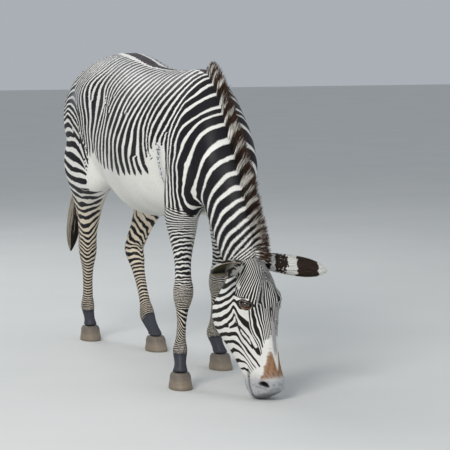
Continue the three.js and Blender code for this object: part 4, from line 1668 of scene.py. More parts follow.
    def mark_dorsal(self, marks: Marks, points: np.ndarray, places: dict[str, Place]) -> None:
        """A dark line along the spine between white borders, smoky hair on the rump, specks at the elbow,
        painted shade under the belly and painted sheen on the black over the back.

        Args:
            marks: changed in place.
            points: places in the animal's frame.
            places: their places in the lofts.
        """
        trunk = places["trunk"]
        x, y, z = points.T
        half = curve(trunk.station, {2: 16, 3: 26, 4.3: 36, 5.2: 34, 6: 28, 7: 24, 9: 18})
        border = curve(trunk.station, {2: 10, 3: 16, 4.3: 26, 5.2: 22, 6: 13, 7: 10, 9: 8})
        on_top = ramp(0.3, 0.5, trunk.up) * ramp(30, -20, x) * ramp(1.2, 2.2, trunk.station)
        wide = np.abs(y) + 3 * wander(points, 80, 6)
        pale = on_top * ramp(half + border + 5, half + border - 5, wide)
        line = on_top * ramp(half + 2.5, half - 2.5, wide)
        marks.paint(pale, white=1.08)
        marks.paint(line, white=0.0)
        marks.paint(line, dark=HAIR.dorsal)
        angle = folded(trunk)
        wobble = 14 * wander(points, 70, 7)
        from_smoke = np.hypot((x + 1040 + 0.35 * (z - 1290)) / 62, (z - 1300) / 52)
        smoke = bump(from_smoke + wobble / 60, 0.0, 0.95)
        elbow = bump(x + 66 + 0.12 * (z - 1040) + wobble / 4, 0, 26) * ramp(1150, 1080, z) * ramp(860, 930, z)
        speckle = 0.8 + 0.36 * wander(points, 9, 8)
        marks.paint(np.clip(1.5 * elbow, 0, 1), white=speckle)
        marks.paint(0.55 * elbow, light=np.array(HAIR.smoke) * 1.2)
        marks.paint(0.8 * smoke, light=HAIR.smoke)
        marks.paint(0.75 * smoke, dark=np.array(HAIR.smoke) * 0.5)
        # painted shade: the white hair under the belly, between the legs, is greyed
        low = ramp(222, 262, angle) * ramp(3.6, 4.6, trunk.station) * ramp(9.4, 8.6, trunk.station)
        low = low * (1 - marks.mixes[:, 2])
        marks.paint(0.6 * low, light=HAIR.shaded_underside)
        # painted sky sheen: the black stripes over the top of the back, croup to ribs, are made lighter and
        # bluer
        back = ramp(160, 105, angle) * ramp(9.5, 8.5, trunk.station) * (1 - marks.mixes[:, 2])
        marks.paint(0.7 * back, dark=HAIR.back)

    def mark_tail(self, marks: Marks, tail: Place) -> None:
        """Small bars on the tail's dock under a dark line.

        Args:
            marks: changed in place.
            tail: the points' places in the tail's loft.
        """
        own = ramp(30, 5, tail.gap) * ramp(0.25, 0.8, tail.station)
        marks.last = np.where(own > 0, tail.station * 6.5, marks.last)
        marks.mixes[:, 2] = np.maximum(marks.mixes[:, 2], own)
        marks.paint(own, white=0.5)
        ridge = own * ramp(-0.35, -0.75, tail.up)
        marks.paint(ridge, white=0.0)

    def mark_head(self, marks: Marks, points: np.ndarray, places: dict[str, Place]) -> None:
        """The face: a whorl on the forehead, long lines to the nose, broad cheek bands, a bare muzzle.

        The face's lines are the rows of its weave over radius, which is |angle - 90| in degrees plus
        21 for each station behind 3.62, eased in; the cheek's bands lie over station, by angle.

        Args:
            marks: changed in place.
            points: places in the animal's frame.
            places: their places in the lofts.
        """
        head = places["head"]
        inside = self.anatomy.head.inside(points)
        down, out, left = inside.T
        angle = folded(head)
        s = head.station
        on_head = ramp(-30, 24, down + 0.2 * out) * ramp(40, 20, np.minimum(head.gap, 60))
        on_head = np.where(down > 120, 1.0, on_head) * (down > -60) * (head.gap < 80)
        ripple = 0.10 * wander(points, 40, 21)
        spread = np.abs(angle - 90)
        radius = spread + 21 * np.logaddexp(0, (3.62 - s) * 9) / 9
        face = FACE_WEAVE.phase(s, radius) + ripple
        cheek = CHEEK_WEAVE.phase(angle, s) + 0.6 * ripple
        edge = curve(s, self.cheek_edge)
        is_face = ramp(edge + 1.5, edge - 1.5, angle)
        own = ramp(0.42, 0.58, on_head)
        marks.phases[:, 1] = np.where(on_head > 0, cheek, marks.phases[:, 1])
        marks.mixes[:, 0] = np.where(on_head > 0, 1.0, marks.mixes[:, 0])
        marks.mixes[:, 1] = marks.mixes[:, 1] * (1 - own)
        marks.last = np.where(on_head > 0, face, marks.last)
        marks.mixes[:, 2] = np.where(on_head > 0, own * is_face, marks.mixes[:, 2])
        cheek_white = curve(s, {2: 0.44, 5: 0.5, 7: 0.52, 9: 0.62})
        white = blend(cheek_white, curve(s, {1: 0.37, 3: 0.34, 5: 0.36, 8: 0.44}), is_face)
        # the stripes stop short of the nose and the lips
        stop = curve(angle, self.stripes_end) + 0.1 * wander(points, 18, 22)
        bare = ramp(stop - 0.35, stop + 0.1, s)
        white = blend(white, 1.08, bare)
        strip = ramp(12, 6, spread) * ramp(5.0, 6.3, s)
        light = np.tile(HAIR.white, (len(points), 1))
        light = blend(light, HAIR.nose_grey, strip * ramp(9.4, 8.6, s))
        inner = curve(s, self.tan_inner)
        outer = curve(s, self.tan_outer) + 4 * wander(points, 20, 24)
        tan = ramp(8.6, 8.9, s + 0.16 * wander(points, 13, 23)) * ramp(11.2, 10.6, s)
        tan = tan * ramp(inner - 2, inner + 3, spread) * ramp(outer + 4, outer - 3, spread)
        light = blend(light, HAIR.tan, 0.95 * tan)
        light = blend(light, HAIR.face_brown, 0.45 * tan * ramp(0.1, 0.9, wander(points, 17, 27)))
        grey = ramp(9.9, 11.4, s + 0.25 * ramp(150, 190, angle))
        light = blend(light, HAIR.muzzle, grey * (1 - 0.75 * tan))
        light = blend(light, HAIR.lip, 0.3 * grey * ramp(0.1, 0.9, wander(points, 19, 28)))
        lips = bump(self.anatomy.head.mouth_gap(down, out), 0, 9) * ramp(470, 500, down)
        lips = lips + ramp(588, 612, down) * 0.9
        light = blend(light, HAIR.lip, np.clip(lips, 0, 1) * 0.8)
        # near black inside and round the nostril: its dark skin, and painted shade in its opening
        hole = ramp(1.5, 0.8, self.anatomy.head.nostril_reach(down, out)) * ramp(26, 40, np.abs(left))
        light = blend(light, HAIR.nostril, hole)
        # grey veil on the crest of the forehead
        veil = bump(s, 3.1, 0.45) * ramp(32, 12, spread)
        dark = np.tile(HAIR.face_black, (len(points), 1))
        dark = blend(dark, HAIR.face_brown, ramp(4.6, 7.5, s) * ramp(120, 100, angle) * 0.8)
        light = blend(light, HAIR.forehead, 0.55 * veil)
        marks.paint(on_head, white=white, light=light, dark=dark)
        for side in Side:
            self.mark_eye(marks, points, side)

    def mark_eye(self, marks: Marks, points: np.ndarray, side: Side) -> None:
        """Black hair round the eye, dark lids, and brown hair with a tan strip in it below them.

        Args:
            marks: changed in place.
            points: places in the animal's frame.
            side: which eye.
        """
        face = Face(self.anatomy.head)
        centre, axes = face.eye_frame(side.value)
        x, y, z = ((points - centre) @ axes.T).T
        near = (np.hypot(x, y) < 62) & (z > -30)
        gap = np.where(near, face.almond(x, y), 99.0) * (1 + 0.06 * wander(points, 9, 25))
        drop = np.where(near, -y / np.maximum(1 - (x / 40) ** 2, 0.2), 99.0) + 0.6 * wander(points, 9, 26)
        below = ramp(0, 4, drop) * (drop < 90)
        within = ramp(30, 26, np.abs(x)) * near
        white = blend(marks.white, -0.1, ramp(3.6, 3.0, gap) * (1 - below))
        painted = np.maximum(ramp(2.2, 1.9, gap), below * ramp(27, 24, drop) * within)
        white = blend(white, 1.05, painted)
        light = blend(marks.light, HAIR.face_brown, painted)
        strip = ramp(11, 13, drop) * ramp(19, 17, drop) * within * below
        light = blend(light, HAIR.under_eye, strip)
        light = blend(light, HAIR.lid, ramp(1.9, 1.5, gap))
        marks.white, marks.light = white, light

    def mark_ear(self, marks: Marks, points: np.ndarray, ear: Ear) -> None:
        """White and brown bands across the ear's back, a pale rim and a dusky inside.

        Args:
            marks: changed in place.
            points: places in the animal's frame.
            ear: which ear.
        """
        part, across, height = ear.inside(self.anatomy.head, points)
        near = np.linalg.norm(points - self.anatomy.head.on(*ear.root), axis=1) < 340
        on_ear = ramp(0.1, 0.2, part) * near * (np.abs(across) < 1.3) * (np.abs(height) < 75)
        line = part + 0.025 * wander(points, 26, 31) + 0.02 * across
        white = curve(line, {0.19: 1, 0.21: 0, 0.38: 0, 0.41: 1, 0.51: 1, 0.54: 0, 0.84: 0, 0.88: 1})
        mottle = bump(line, 0.3, 0.12) * ramp(-0.1, 0.5, wander(points, 13, 32))
        white = np.clip(white + 0.8 * mottle, 0, 1)
        inside = ramp(-0.5, 1.0, height) * ramp(0.2, 0.34, part)
        rim = ramp(0.8, 0.93, np.abs(across))
        light = np.tile(HAIR.white, (len(points), 1))
        inner = np.tile(HAIR.ear_inside, (len(points), 1))
        inner = blend(inner, HAIR.ear_hollow, ramp(0.35, 0.75, np.abs(across)))
        inner = blend(inner, HAIR.cream, rim)
        light = blend(light, inner, inside)
        white = blend(white, 1.0, inside)
        marks.paint(on_ear, white=white, light=light, dark=HAIR.ear_band)


# ---------------------------------------------------------------- shader graphs


class Graph:
    """A node tree with short ways to add its nodes."""

    def __init__(self, tree: bpy.types.NodeTree) -> None:
        """Keeps the tree."""
        self.tree = tree

    def add(self, kind: str, **values: object) -> bpy.types.Node:
        """A node of a kind, with its properties set."""
        node = self.tree.nodes.new(kind)
        for key, value in values.items():
            setattr(node, key, value)
        return node

    def feed(self, socket: Socket, value: object) -> None:
        """Links a socket to another, or sets its value."""
        if isinstance(value, Socket):
            self.tree.links.new(value, socket)
        else:
            socket.default_value = value

    def math(self, operation: str, *values: object, clamp: bool = False) -> Socket:
        """A Math node's result."""
        node = self.add("ShaderNodeMath", operation=operation, use_clamp=clamp)
        for socket, value in zip(node.inputs, values):
            self.feed(socket, value)
        return node.outputs[0]

    def mix(self, share: object, a: object, b: object) -> Socket:
        """Two numbers mixed."""
        node = self.add("ShaderNodeMix", data_type="FLOAT")
        for socket, value in zip((node.inputs[0], node.inputs[2], node.inputs[3]), (share, a, b)):
            self.feed(socket, value)
        return node.outputs[0]

    def tint(self, share: object, a: object, b: object, way: str = "MIX") -> Socket:
        """Two colours mixed in a way such as MIX or MULTIPLY."""
        node = self.add("ShaderNodeMix", data_type="RGBA", blend_type=way)
        for socket, value in zip((node.inputs[0], node.inputs[6], node.inputs[7]), (share, a, b)):
            self.feed(socket, value)
        return node.outputs[2]

    def attribute(self, name: str) -> bpy.types.Node:
        """A point value of the mesh."""
        return self.add("ShaderNodeAttribute", attribute_name=name)

    def split(self, vector: Socket) -> list[Socket]:
        """A vector's three numbers."""
        node = self.add("ShaderNodeSeparateXYZ")
        self.feed(node.inputs[0], vector)
        return list(node.outputs)

    def place(self, scale: tuple[float, float, float] = (1, 1, 1)) -> Socket:
        """Object coordinates, scaled."""
        where = self.add("ShaderNodeTexCoord").outputs["Object"]
        node = self.add("ShaderNodeMapping")
        self.feed(node.inputs["Vector"], where)
        node.inputs["Scale"].default_value = scale
        return node.outputs[0]

    def noise(self, where: object, scale: float, detail: float = 2.0, rough: float = 0.5) -> Socket:
        """A noise value, about 0.5 in the middle.

        Args:
            where: the coordinates.
            scale: how fine it is.
            detail: how many octaves.
            rough: how strong the finer ones are.

        Returns:
            The node's result.
        """
        node = self.add("ShaderNodeTexNoise")
        self.feed(node.inputs["Vector"], where)
        node.inputs["Scale"].default_value = scale
        node.inputs["Detail"].default_value = detail
        node.inputs["Roughness"].default_value = rough
        return node.outputs[0]

    def raise_by(self, height: object, strength: float, distance: float) -> Socket:
        """The normal of a surface with a height on it, in metres."""
        node = self.add("ShaderNodeBump")
        node.inputs["Strength"].default_value = strength
        node.inputs["Distance"].default_value = distance
        self.feed(node.inputs["Height"], height)
        return node.outputs[0]

    def span(self, value: object, low: float, high: float, out: tuple[float, float] = (0, 1)) -> Socket:
        """A smooth step from low to high, given as the two ends of out."""
        node = self.add("ShaderNodeMapRange", interpolation_type="SMOOTHSTEP")
        for socket, number in zip(node.inputs[:5], (value, low, high, *out)):
            self.feed(socket, number)
        return node.outputs[0]


def new_material(name: str) -> tuple[bpy.types.Material, Graph, bpy.types.NodeInputs]:
    """A material, its graph, and the inputs of its main shader."""
    item = bpy.data.materials.new(name)
    item.use_nodes = True
    return item, Graph(item.node_tree), item.node_tree.nodes["Principled BSDF"].inputs


def new_group(
    name: str, inputs: dict[str, float], outputs: dict[str, str]
) -> tuple[bpy.types.NodeTree, Graph]:
    """A shader node group with float inputs and named outputs.

    Args:
        name: the group's name.
        inputs: each input's name and first value.
        outputs: each output's name and kind, Float or Color.

    Returns:
        The group's tree and its graph.
    """
    tree = bpy.data.node_groups.new(name, "ShaderNodeTree")
    for key, value in inputs.items():
        tree.interface.new_socket(key, in_out="INPUT", socket_type="NodeSocketFloat").default_value = value
    for key, kind in outputs.items():
        tree.interface.new_socket(key, in_out="OUTPUT", socket_type="NodeSocket" + kind)
    return tree, Graph(tree)


def hair_group() -> bpy.types.NodeTree:
    """Striped hair: colour, fibre height and gloss from the marks stored on the points.

    The wave of each phase is cos(2 pi phase); the waves are mixed by their shares, and the
    hair is white where the mix is over BAR cos(pi white).
    """
    tree, g = new_group(
        "striped_hair",
        {"Edge Softness": 0.16, "Edge Hairs": 0.3, "Fibre Contrast": 0.25},
        {"Color": "Color", "Height": "Float", "Gloss": "Float"},
    )
    given = g.add("NodeGroupInput").outputs
    phases = g.split(g.attribute("phases").outputs["Vector"])
    shares = g.split(g.attribute("mixes").outputs["Vector"])
    last, white, flow = g.split(g.attribute("last").outputs["Vector"])
    waves = [g.math("COSINE", g.math("MULTIPLY", phase, 2 * math.pi)) for phase in (*phases, last)]
    wave = waves[0]
    for share, other in zip(shares, waves[1:]):
        wave = g.mix(share, wave, other)
    bar = g.math("COSINE", g.math("MULTIPLY", g.math("MINIMUM", g.math("MAXIMUM", white, 0.0), 1.0), math.pi))
    bar = g.math("MULTIPLY", bar, BAR)
    ragged = g.math("SUBTRACT", g.noise(g.place(), 420, 2), 0.5)
    over = g.math("ADD", g.math("SUBTRACT", wave, bar), g.math("MULTIPLY", ragged, given["Edge Hairs"]))
    node = g.add("ShaderNodeMapRange", interpolation_type="SMOOTHSTEP")
    g.feed(node.inputs[0], over)
    g.feed(node.inputs[1], g.math("MULTIPLY", given["Edge Softness"], -1.0))
    g.feed(node.inputs[2], given["Edge Softness"])
    pale = node.outputs[0]
    colour = g.tint(pale, g.attribute("dark").outputs["Color"], g.attribute("light").outputs["Color"])
    level = g.noise(g.place((70, 620, 620)), 1.0, 3, 0.65)
    upright = g.noise(g.place((620, 620, 70)), 1.0, 3, 0.65)
    fibre = g.mix(flow, level, upright)
    patchy = g.noise(g.place(), 7, 3, 0.6)
    shade = g.math("MULTIPLY", g.math("SUBTRACT", fibre, 0.5), given["Fibre Contrast"])
    cloud = g.math("MULTIPLY", g.math("SUBTRACT", patchy, 0.5), 0.16)
    shade = g.math("ADD", g.math("ADD", shade, 1.0), cloud)
    grey = g.add("ShaderNodeCombineColor")
    for socket in grey.inputs[:3]:
        g.feed(socket, shade)
    colour = g.tint(1.0, colour, grey.outputs[0], "MULTIPLY")
    gloss = g.math("ADD", g.mix(pale, 0.42, 0.62), g.math("MULTIPLY", g.math("SUBTRACT", fibre, 0.5), 0.35))
    out = g.add("NodeGroupOutput")
    g.feed(out.inputs["Color"], colour)
    g.feed(out.inputs["Height"], fibre)
    g.feed(out.inputs["Gloss"], gloss)
    return tree


@dataclass(frozen=True)
class HairFinish:
    """A finish of striped hair: how hard its stripes' edges are, and how deep its fibres."""

    name: str
    softness: float = 0.16
    ragged: float = 0.3
    contrast: float = 0.25
    bump: float = 0.25
    relief: float = 0.0009
    shine: float = 0.2

    def material(self, group: bpy.types.NodeTree) -> bpy.types.Material:
        """The material, with the shared group inside.

        Args:
            group: the striped hair's group.

        Returns:
            The material.
        """
        item, g, shader = new_material(self.name)
        hair = g.add("ShaderNodeGroup", node_tree=group)
        hair.inputs["Edge Softness"].default_value = self.softness
        hair.inputs["Edge Hairs"].default_value = self.ragged
        hair.inputs["Fibre Contrast"].default_value = self.contrast
        g.feed(shader["Base Color"], hair.outputs["Color"])
        g.feed(shader["Roughness"], hair.outputs["Gloss"])
        g.feed(shader["Normal"], g.raise_by(hair.outputs["Height"], self.bump, self.relief))
        shader["Specular IOR Level"].default_value = self.shine
        return item


# ---------------------------------------------------------------- locks and tufts


def strands(paths: np.ndarray, radii: np.ndarray) -> tuple[np.ndarray, np.ndarray]:
    """Closed three-sided tubes along paths, each drawn to a point at its end.

    Args:
        paths: for each strand, its line of points from root to tip.
        radii: for each strand, its radius at every point but the last.

    Returns:
        The points, strand by strand, and the triangles.
    """
    count, steps = paths.shape[:2]
    run = unit(np.gradient(paths, axis=1))
    across = unit(np.cross(run, vec(0.31, 0.9, 0.27)))
    beside = np.cross(run, across)
    turn = np.arange(3) * 2 * math.pi / 3
    ring = across[:, :-1, None] * np.cos(turn)[:, None] + beside[:, :-1, None] * np.sin(turn)[:, None]
    body = paths[:, :-1, None] + ring * radii[:, :, None, None]
    points = np.concatenate([body.reshape(count, -1, 3), paths[:, -1:]], axis=1)
    i = np.arange(steps - 2)[:, None] * 3
    j = np.arange(3)[None, :]
    k = (j + 1) % 3
    walls = [np.stack([i + j, i + k, i + 3 + k], -1), np.stack([i + j, i + 3 + k, i + 3 + j], -1)]
    last = (steps - 2) * 3
    tip = np.stack([last + j[0], last + k[0], np.full(3, last + 3)], 1)
    one = np.concatenate([*(w.reshape(-1, 3) for w in walls), tip, [[0, 2, 1]]])
    faces = one[None] + np.arange(count)[:, None, None] * (last + 4)
    return points.reshape(-1, 3), faces.reshape(-1, 3)


def put_map(mesh: bpy.types.Mesh, rows: np.ndarray) -> None:
    """Stores the OFBake map from a place on it for each point."""
    corners = pull(mesh.loops, "vertex_index")
    layer = mesh.uv_layers.new(name="OFBake")
    layer.data.foreach_set("uv", rows[corners].astype(np.float32).ravel())


@dataclass(frozen=True)
class Roots:
    """Places on the skin from which hair grows, with all that the hair takes from the skin."""

    points: np.ndarray
    normals: np.ndarray
    lie: np.ndarray
    marks: Marks
    where: np.ndarray  # the place on the unwrap, 0 to 1 both ways
    region: np.ndarray


@dataclass
class Pelt:
    """The finished skin as triangles, ready to be seeded with hair."""

    anatomy: Anatomy
    mesh: bpy.types.Mesh
    points: np.ndarray
    places: dict[str, Place]
    marks: Marks

    def __post_init__(self) -> None:
        """Reads the triangles and finds the region and the lie of the hair at each point."""
        self.normals = read_normals(self.mesh)
        self.mesh.calc_loop_triangles()
        self.triangles = pull(self.mesh.loop_triangles, "vertices", 3)
        a, b, c = (self.points[self.triangles[:, k]] for k in range(3))
        self.areas = np.linalg.norm(np.cross(b - a, c - a), axis=1) / 2
        self.names = list(self.places)
        gaps = np.stack([self.places[name].gap for name in self.names])
        self.region = gaps.argmin(0)
        for number, ear in enumerate(EARS):
            part, across, height = ear.inside(self.anatomy.head, self.points)
            near = (part > 0.08) & (part < 1.1) & (np.abs(across) < 1.6) & (np.abs(height) < 70)
            near &= np.linalg.norm(self.points - self.anatomy.head.on(*ear.root), axis=1) < 360
            self.region = np.where(near, len(self.names) + number, self.region)
        self.names += [ear.name for ear in EARS]
        self.lie = self.lay(gaps)
        self.spread = np.stack([self.unwrapped(k) for k in range(len(self.names))])

    def lay(self, gaps: np.ndarray) -> np.ndarray:
        """The way the hair lies: back and down the body, up the neck, down legs and face.

        Args:
            gaps: the distance of each point from each loft.

        Returns:
            A direction for each point, along the skin.
        """
        count = len(self.points)
        down, _, left = self.anatomy.head.inside(self.points).T
        axes = self.anatomy.head.axes
        fixed = {"trunk": vec(-0.88, 0, -0.42), "tail": vec(0, 0, -1)}
        ways = {name: np.tile(way, (count, 1)) for name, way in fixed.items()}
        neck = self.anatomy.lofts["neck"]
        ways["neck"] = -neck.at(self.places["neck"].station, "run") + vec(-0.1, 0, -0.45)
        for limb in LIMBS:
            ways[limb.name] = self.anatomy.lofts[limb.name].at(self.places[limb.name].station, "run")
        below = ramp(95, 160, down)[:, None]
        side = ramp(40, 90, np.abs(left))[:, None]
        ways["head"] = axes[0] * (2 * below - 1) + side * (axes[1] * -0.55)
        ways["head"] = ways["head"] + axes[2] * (np.sign(left) * 0.25)[:, None]
        total = np.zeros((count, 3))
        near = gaps.min(0)
        for name, gap in zip(self.places, gaps):
            share = np.exp(-((np.clip(gap - near, 0, 200) / 22) ** 2))
            total += unit(ways[name]) * share[:, None]
        for number, ear in enumerate(EARS):
            here = self.region == len(self.places) + number
            total = np.where(here[:, None], unit(np.array(ear.reach, float)), total)
        total = relax(total, read_edges(self.mesh), np.full(count, 0.5), 12)
        total = total + np.stack([wander(self.points, 60, 41 + k) for k in range(3)], 1) * 0.16
        flat = total - self.normals * (total * self.normals).sum(1)[:, None]
        return unit(flat)

    def unwrapped(self, number: int) -> np.ndarray:
        """Each point's place on a region's unwrap: along it, and round it; 0 to 1.

        Args:
            number: the region's number.

        Returns:
            Two numbers for each point.
        """
        name = self.names[number]
        if name in self.places:
            place = self.places[name]
            last = self.anatomy.lofts[name].station[-1]
            round_it = (np.arctan2(place.side, place.up) / (2 * math.pi) + 0.5) % 1.0
            return np.stack([place.station / last, round_it], 1)
        ear = EARS[number - len(self.places)]
        part, across, height = ear.inside(self.anatomy.head, self.points)
        half = np.clip(across, -1, 1) * 0.23 + 0.25
        return np.stack([np.clip(part, 0, 1), np.where(height > 0, half + 0.5, half)], 1)

    def seed(self, count: int, weight: np.ndarray, rng: np.random.Generator) -> Roots:
        """Roots spread over the skin by a weight for each point, evenly along the triangles' order.

        Args:
            count: how many.
            weight: for each point.
            rng: the random numbers.

        Returns:
            The roots.
        """
        share = self.areas * weight[self.triangles].mean(1)
        total = np.cumsum(share)
        spots = (np.arange(count) + rng.random(count)) / count * total[-1]
        rows = np.minimum(np.searchsorted(total, spots), len(share) - 1)
        a, b = rng.random((2, count))
        over = a + b > 1
        a, b = np.where(over, 1 - a, a), np.where(over, 1 - b, b)
        mix = np.stack([1 - a - b, a, b], 1)[:, :, None]
        corners = self.triangles[rows]

        def taken(values: np.ndarray) -> np.ndarray:
            """Point values at the roots."""
            shaped = values if values.ndim > 1 else values[:, None]
            found = (shaped[corners] * mix).sum(1)
            return found if values.ndim > 1 else found[:, 0]

        phases = self.marks.phases[corners]
        phases = (level_turns(phases, phases[:, :1]) * mix).sum(1)
        rest = (taken(getattr(self.marks, key)) for key in MARK_NAMES[1:])
        region = self.region[corners[:, 0]]
        spread = self.spread[region[:, None], corners]
        jump = np.abs(spread[:, :, 1] - spread[:, :1, 1]) > 0.5
        spread[:, :, 1] = np.where(jump, spread[:, :1, 1], spread[:, :, 1])
        where = (spread * mix).sum(1)
        normals = unit(taken(self.normals))
        return Roots(taken(self.points), normals, unit(taken(self.lie)), Marks(phases, *rest), where, region)


@dataclass(frozen=True)
class TuftSize:
    """How long, wide and high the tufts of a region are, in mm, and how many there are."""

    count: int
    length: tuple[float, float]
    width: float
    lift: float


@dataclass
class Coat:
    """Tufts over the skin, a piece for each part of the body."""

    pelt: Pelt
    finish: bpy.types.Material

    def piece(
        self, name: str, regions: dict[str, TuftSize], weight: np.ndarray, seed: int
    ) -> bpy.types.Object:
        """One piece of the coat.

        Args:
            name: the piece's name.
            regions: the regions it covers, with their tufts' size; the unwrap gives each a strip.
            weight: how thickly tufts grow at each point of the skin.
            seed: for the random spread.

        Returns:
            The piece, on its body.
        """
        rng = np.random.default_rng(SEED + seed)
        points, normals, maps, parts = [], [], [], []
        for number, (region, size) in enumerate(regions.items()):
            here = self.pelt.region == self.pelt.names.index(region)
            roots = self.pelt.seed(size.count, weight * here, rng)
            p, n = self.tufts(roots, size, rng)
            points.append(p)
            normals.append(n)
            parts.append(roots.marks)
            maps.append(self.patches(roots, number, len(regions)))
        count = sum(len(p) for p in points) // 4
        one = np.array([[0, 2, 3], [1, 3, 2], [0, 3, 1], [0, 1, 2]])
        faces = (one[None] + np.arange(count)[:, None, None] * 4).reshape(-1, 3)
        item = make_object(name, np.concatenate(points), faces)
        marks = joined(parts).taken(np.repeat(np.arange(count), 4))
        shade = np.repeat(rng.normal(1.0, 0.07, count), 4)[:, None]
        marks.light = marks.light * np.clip(shade, 0.8, 1.12)
        marks.dark = marks.dark * np.clip(shade * 1.5 - 0.4, 0.6, 1.8)
        marks.store(item.data)
        put_map(item.data, np.concatenate(maps))
        item.data.normals_split_custom_set_from_vertices(np.concatenate(normals))
        item.data.materials.append(self.finish)
        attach(item, "root")
        return item

    def tufts(self, roots: Roots, size: TuftSize, rng: np.random.Generator) -> tuple[np.ndarray, np.ndarray]:
        """Points and normals of thin closed tufts: two roots, a ridge and a tip each.

        Args:
            roots: where they grow.
            size: how large they are.
            rng: the random numbers.

        Returns:
            Four points and four normals for each.
        """
        count = len(roots.points)
        turn = rng.normal(0, 0.16, count)[:, None]
        beside = np.cross(roots.normals, roots.lie)
        lie = unit(roots.lie + beside * turn)
        beside = np.cross(roots.normals, lie)
        length = rng.uniform(*size.length, count)[:, None]
        width = size.width * rng.uniform(0.75, 1.25, count)[:, None]
        lift = size.lift * rng.uniform(0.35, 1.0, count)[:, None]
        base = roots.points - roots.normals * 0.5 - lie * length * 0.45
        left, right = base + beside * width / 2, base - beside * width / 2
        ridge = base + lie * length * 0.42 + roots.normals * (lift * 0.75 + 0.5)
        tip = base + lie * length + roots.normals * (lift + 0.2)
        points = np.stack([left, right, ridge, tip], 1).reshape(-1, 3)
        lean = beside * 0.38
        rows = [roots.normals + tilt for tilt in (lean, -lean, lie * -0.12, lie * 0.1)]
        return points, unit(np.stack(rows, 1)).reshape(-1, 3)

    def patches(self, roots: Roots, number: int, total: int) -> np.ndarray:
        """Each tuft's patch on the OFBake map, 0.003 across, at its root's place.

        Args:
            roots: the tufts' roots.
            number: the strip of the map that the region has.
            total: how many strips there are.

        Returns:
            Four places for each tuft.
        """
        along = 0.01 + 0.98 * roots.where[:, 0]
        round_it = (number + 0.012 + 0.976 * roots.where[:, 1]) / total
        centre = np.stack([along, round_it], 1)
        corners = np.array([[-0.0015, -0.001], [-0.0015, 0.001], [0.0, 0.0015], [0.0015, 0.0]])
        return np.clip(centre[:, None] + corners[None], 0, 1).reshape(-1, 2)


def joined(parts: list[Marks]) -> Marks:
    """Several sets of marks as one."""
    return Marks(*(np.concatenate([getattr(part, name) for part in parts]) for name in MARK_NAMES))


@dataclass(frozen=True)
class Mane:
    """The upright mane from the withers to the forelock, leaning to the left."""

    anatomy: Anatomy
    tall: float = 98.0
    lean: float = 0.36
    count: int = 3400
    steps: int = 6
    start: float = 1.02  # stations of the neck
    stop: float = 8.0
    radii: tuple[float, ...] = (1.6, 1.9, 1.7, 1.3, 0.8)  # of a lock, from its root
    # part of the full height, half-thickness, along the neck's stations
    heights = {0.9: 0.35, 1.25: 0.8, 2: 0.95, 3: 1.0, 5: 0.98, 6: 0.92, 7: 0.9, 7.7: 0.78, 8: 0.6}
    halves = {0.9: 8, 1.25: 15, 2: 19, 3: 21, 5: 21, 7: 18, 8: 14}

    def build(self, markings: Markings, finish: bpy.types.Material) -> bpy.types.Object:
        """Grows the locks and colours them as the neck's bands, with brown tips.

        Args:
            markings: the coat's markings.
            finish: the material.

        Returns:
            The piece.
        """
        rng = np.random.default_rng(SEED + 70)
        neck = self.anatomy.lofts["neck"]
        spread = (np.arange(self.count) + rng.random(self.count)) / self.count
        s = self.start + (self.stop - self.start) * spread
        across = np.clip(rng.normal(0, 0.5, self.count), -1, 1)
        half = curve(s, self.halves) * across
        angle = math.pi / 2 - np.sign(half) * np.abs(half) / np.maximum(neck.at(s, "half"), 1) * 1.15
        roots = neck.point(s, angle, -6.0)
        up, run = neck.at(s, "up"), neck.at(s, "run")
        tall = self.tall * curve(s, self.heights) * rng.uniform(0.8, 1.0, self.count)
        tall = tall * (1 - 0.35 * across**2)
        clump = np.sin(s * 31 + 2.0 * np.sin(s * 11)) * 0.5 + wander(roots, 26, 71) * 0.4
        sway = clump * 0.16 + rng.normal(0, 0.07, self.count)
        t = np.linspace(0, 1, self.steps)[None, :, None]
        side = neck.at(s, "side") * np.sign(neck.at(s, "side")[:, 1])[:, None]
        forward = 0.06 + 0.75 * ramp(6.9, 8.0, s)
        way = up + side * (self.lean * 0.4 + 0.10 * across)[:, None] + run * (sway + forward)[:, None]
        bend = side * (self.lean * 0.55) + run * (0.5 * sway + 0.1 * clump)[:, None]
        paths = roots[:, None] + tall[:, None, None] * (way[:, None] * t + bend[:, None] * t**2 * 0.5)
        thick = np.array(self.radii)[None, :] * rng.uniform(0.8, 1.25, (self.count, 1))
        points, faces = strands(paths, thick)
        item = make_object("mane_locks", points, faces)
        last = self.steps - 1
        lock = np.repeat(np.arange(self.count), 3 * last + 1)
        marks = markings.at(neck.point(s, angle, 0.0)).taken(lock)
        part = np.tile(np.append(np.repeat(np.arange(last), 3), last) / last, self.count)
        near_poll = ramp(6.4, 7.6, s)[lock]
        fringe = ramp(-0.25, 0.7, across)[lock]
        edge = 0.86 - 0.5 * fringe - 0.25 * near_poll + 0.1 * rng.normal(size=self.count)[lock]
        brown = ramp(edge - 0.1, edge + 0.12, part)
        marks.dark = blend(np.tile(HAIR.mane_black, (len(part), 1)), HAIR.mane_brown, ramp(0.4, 1, part))
        pale = blend(np.tile(HAIR.white, (len(part), 1)), HAIR.cream, 0.25 * part)
        marks.light = blend(pale, HAIR.mane_brown, brown)
        marks.white = np.clip(marks.white + 0.06, 0, 0.6)
        marks.store(item.data)
        strip = np.stack([(s - 1) / 7.05, 0.5 + 0.45 * across], 1)[lock]
        put_map(item.data, np.clip(strip + np.stack([part * 0.002, part * 0.003], 1), 0, 1))
        item.data.materials.append(finish)
        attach(item, "root")
        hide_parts("mane")
        return item


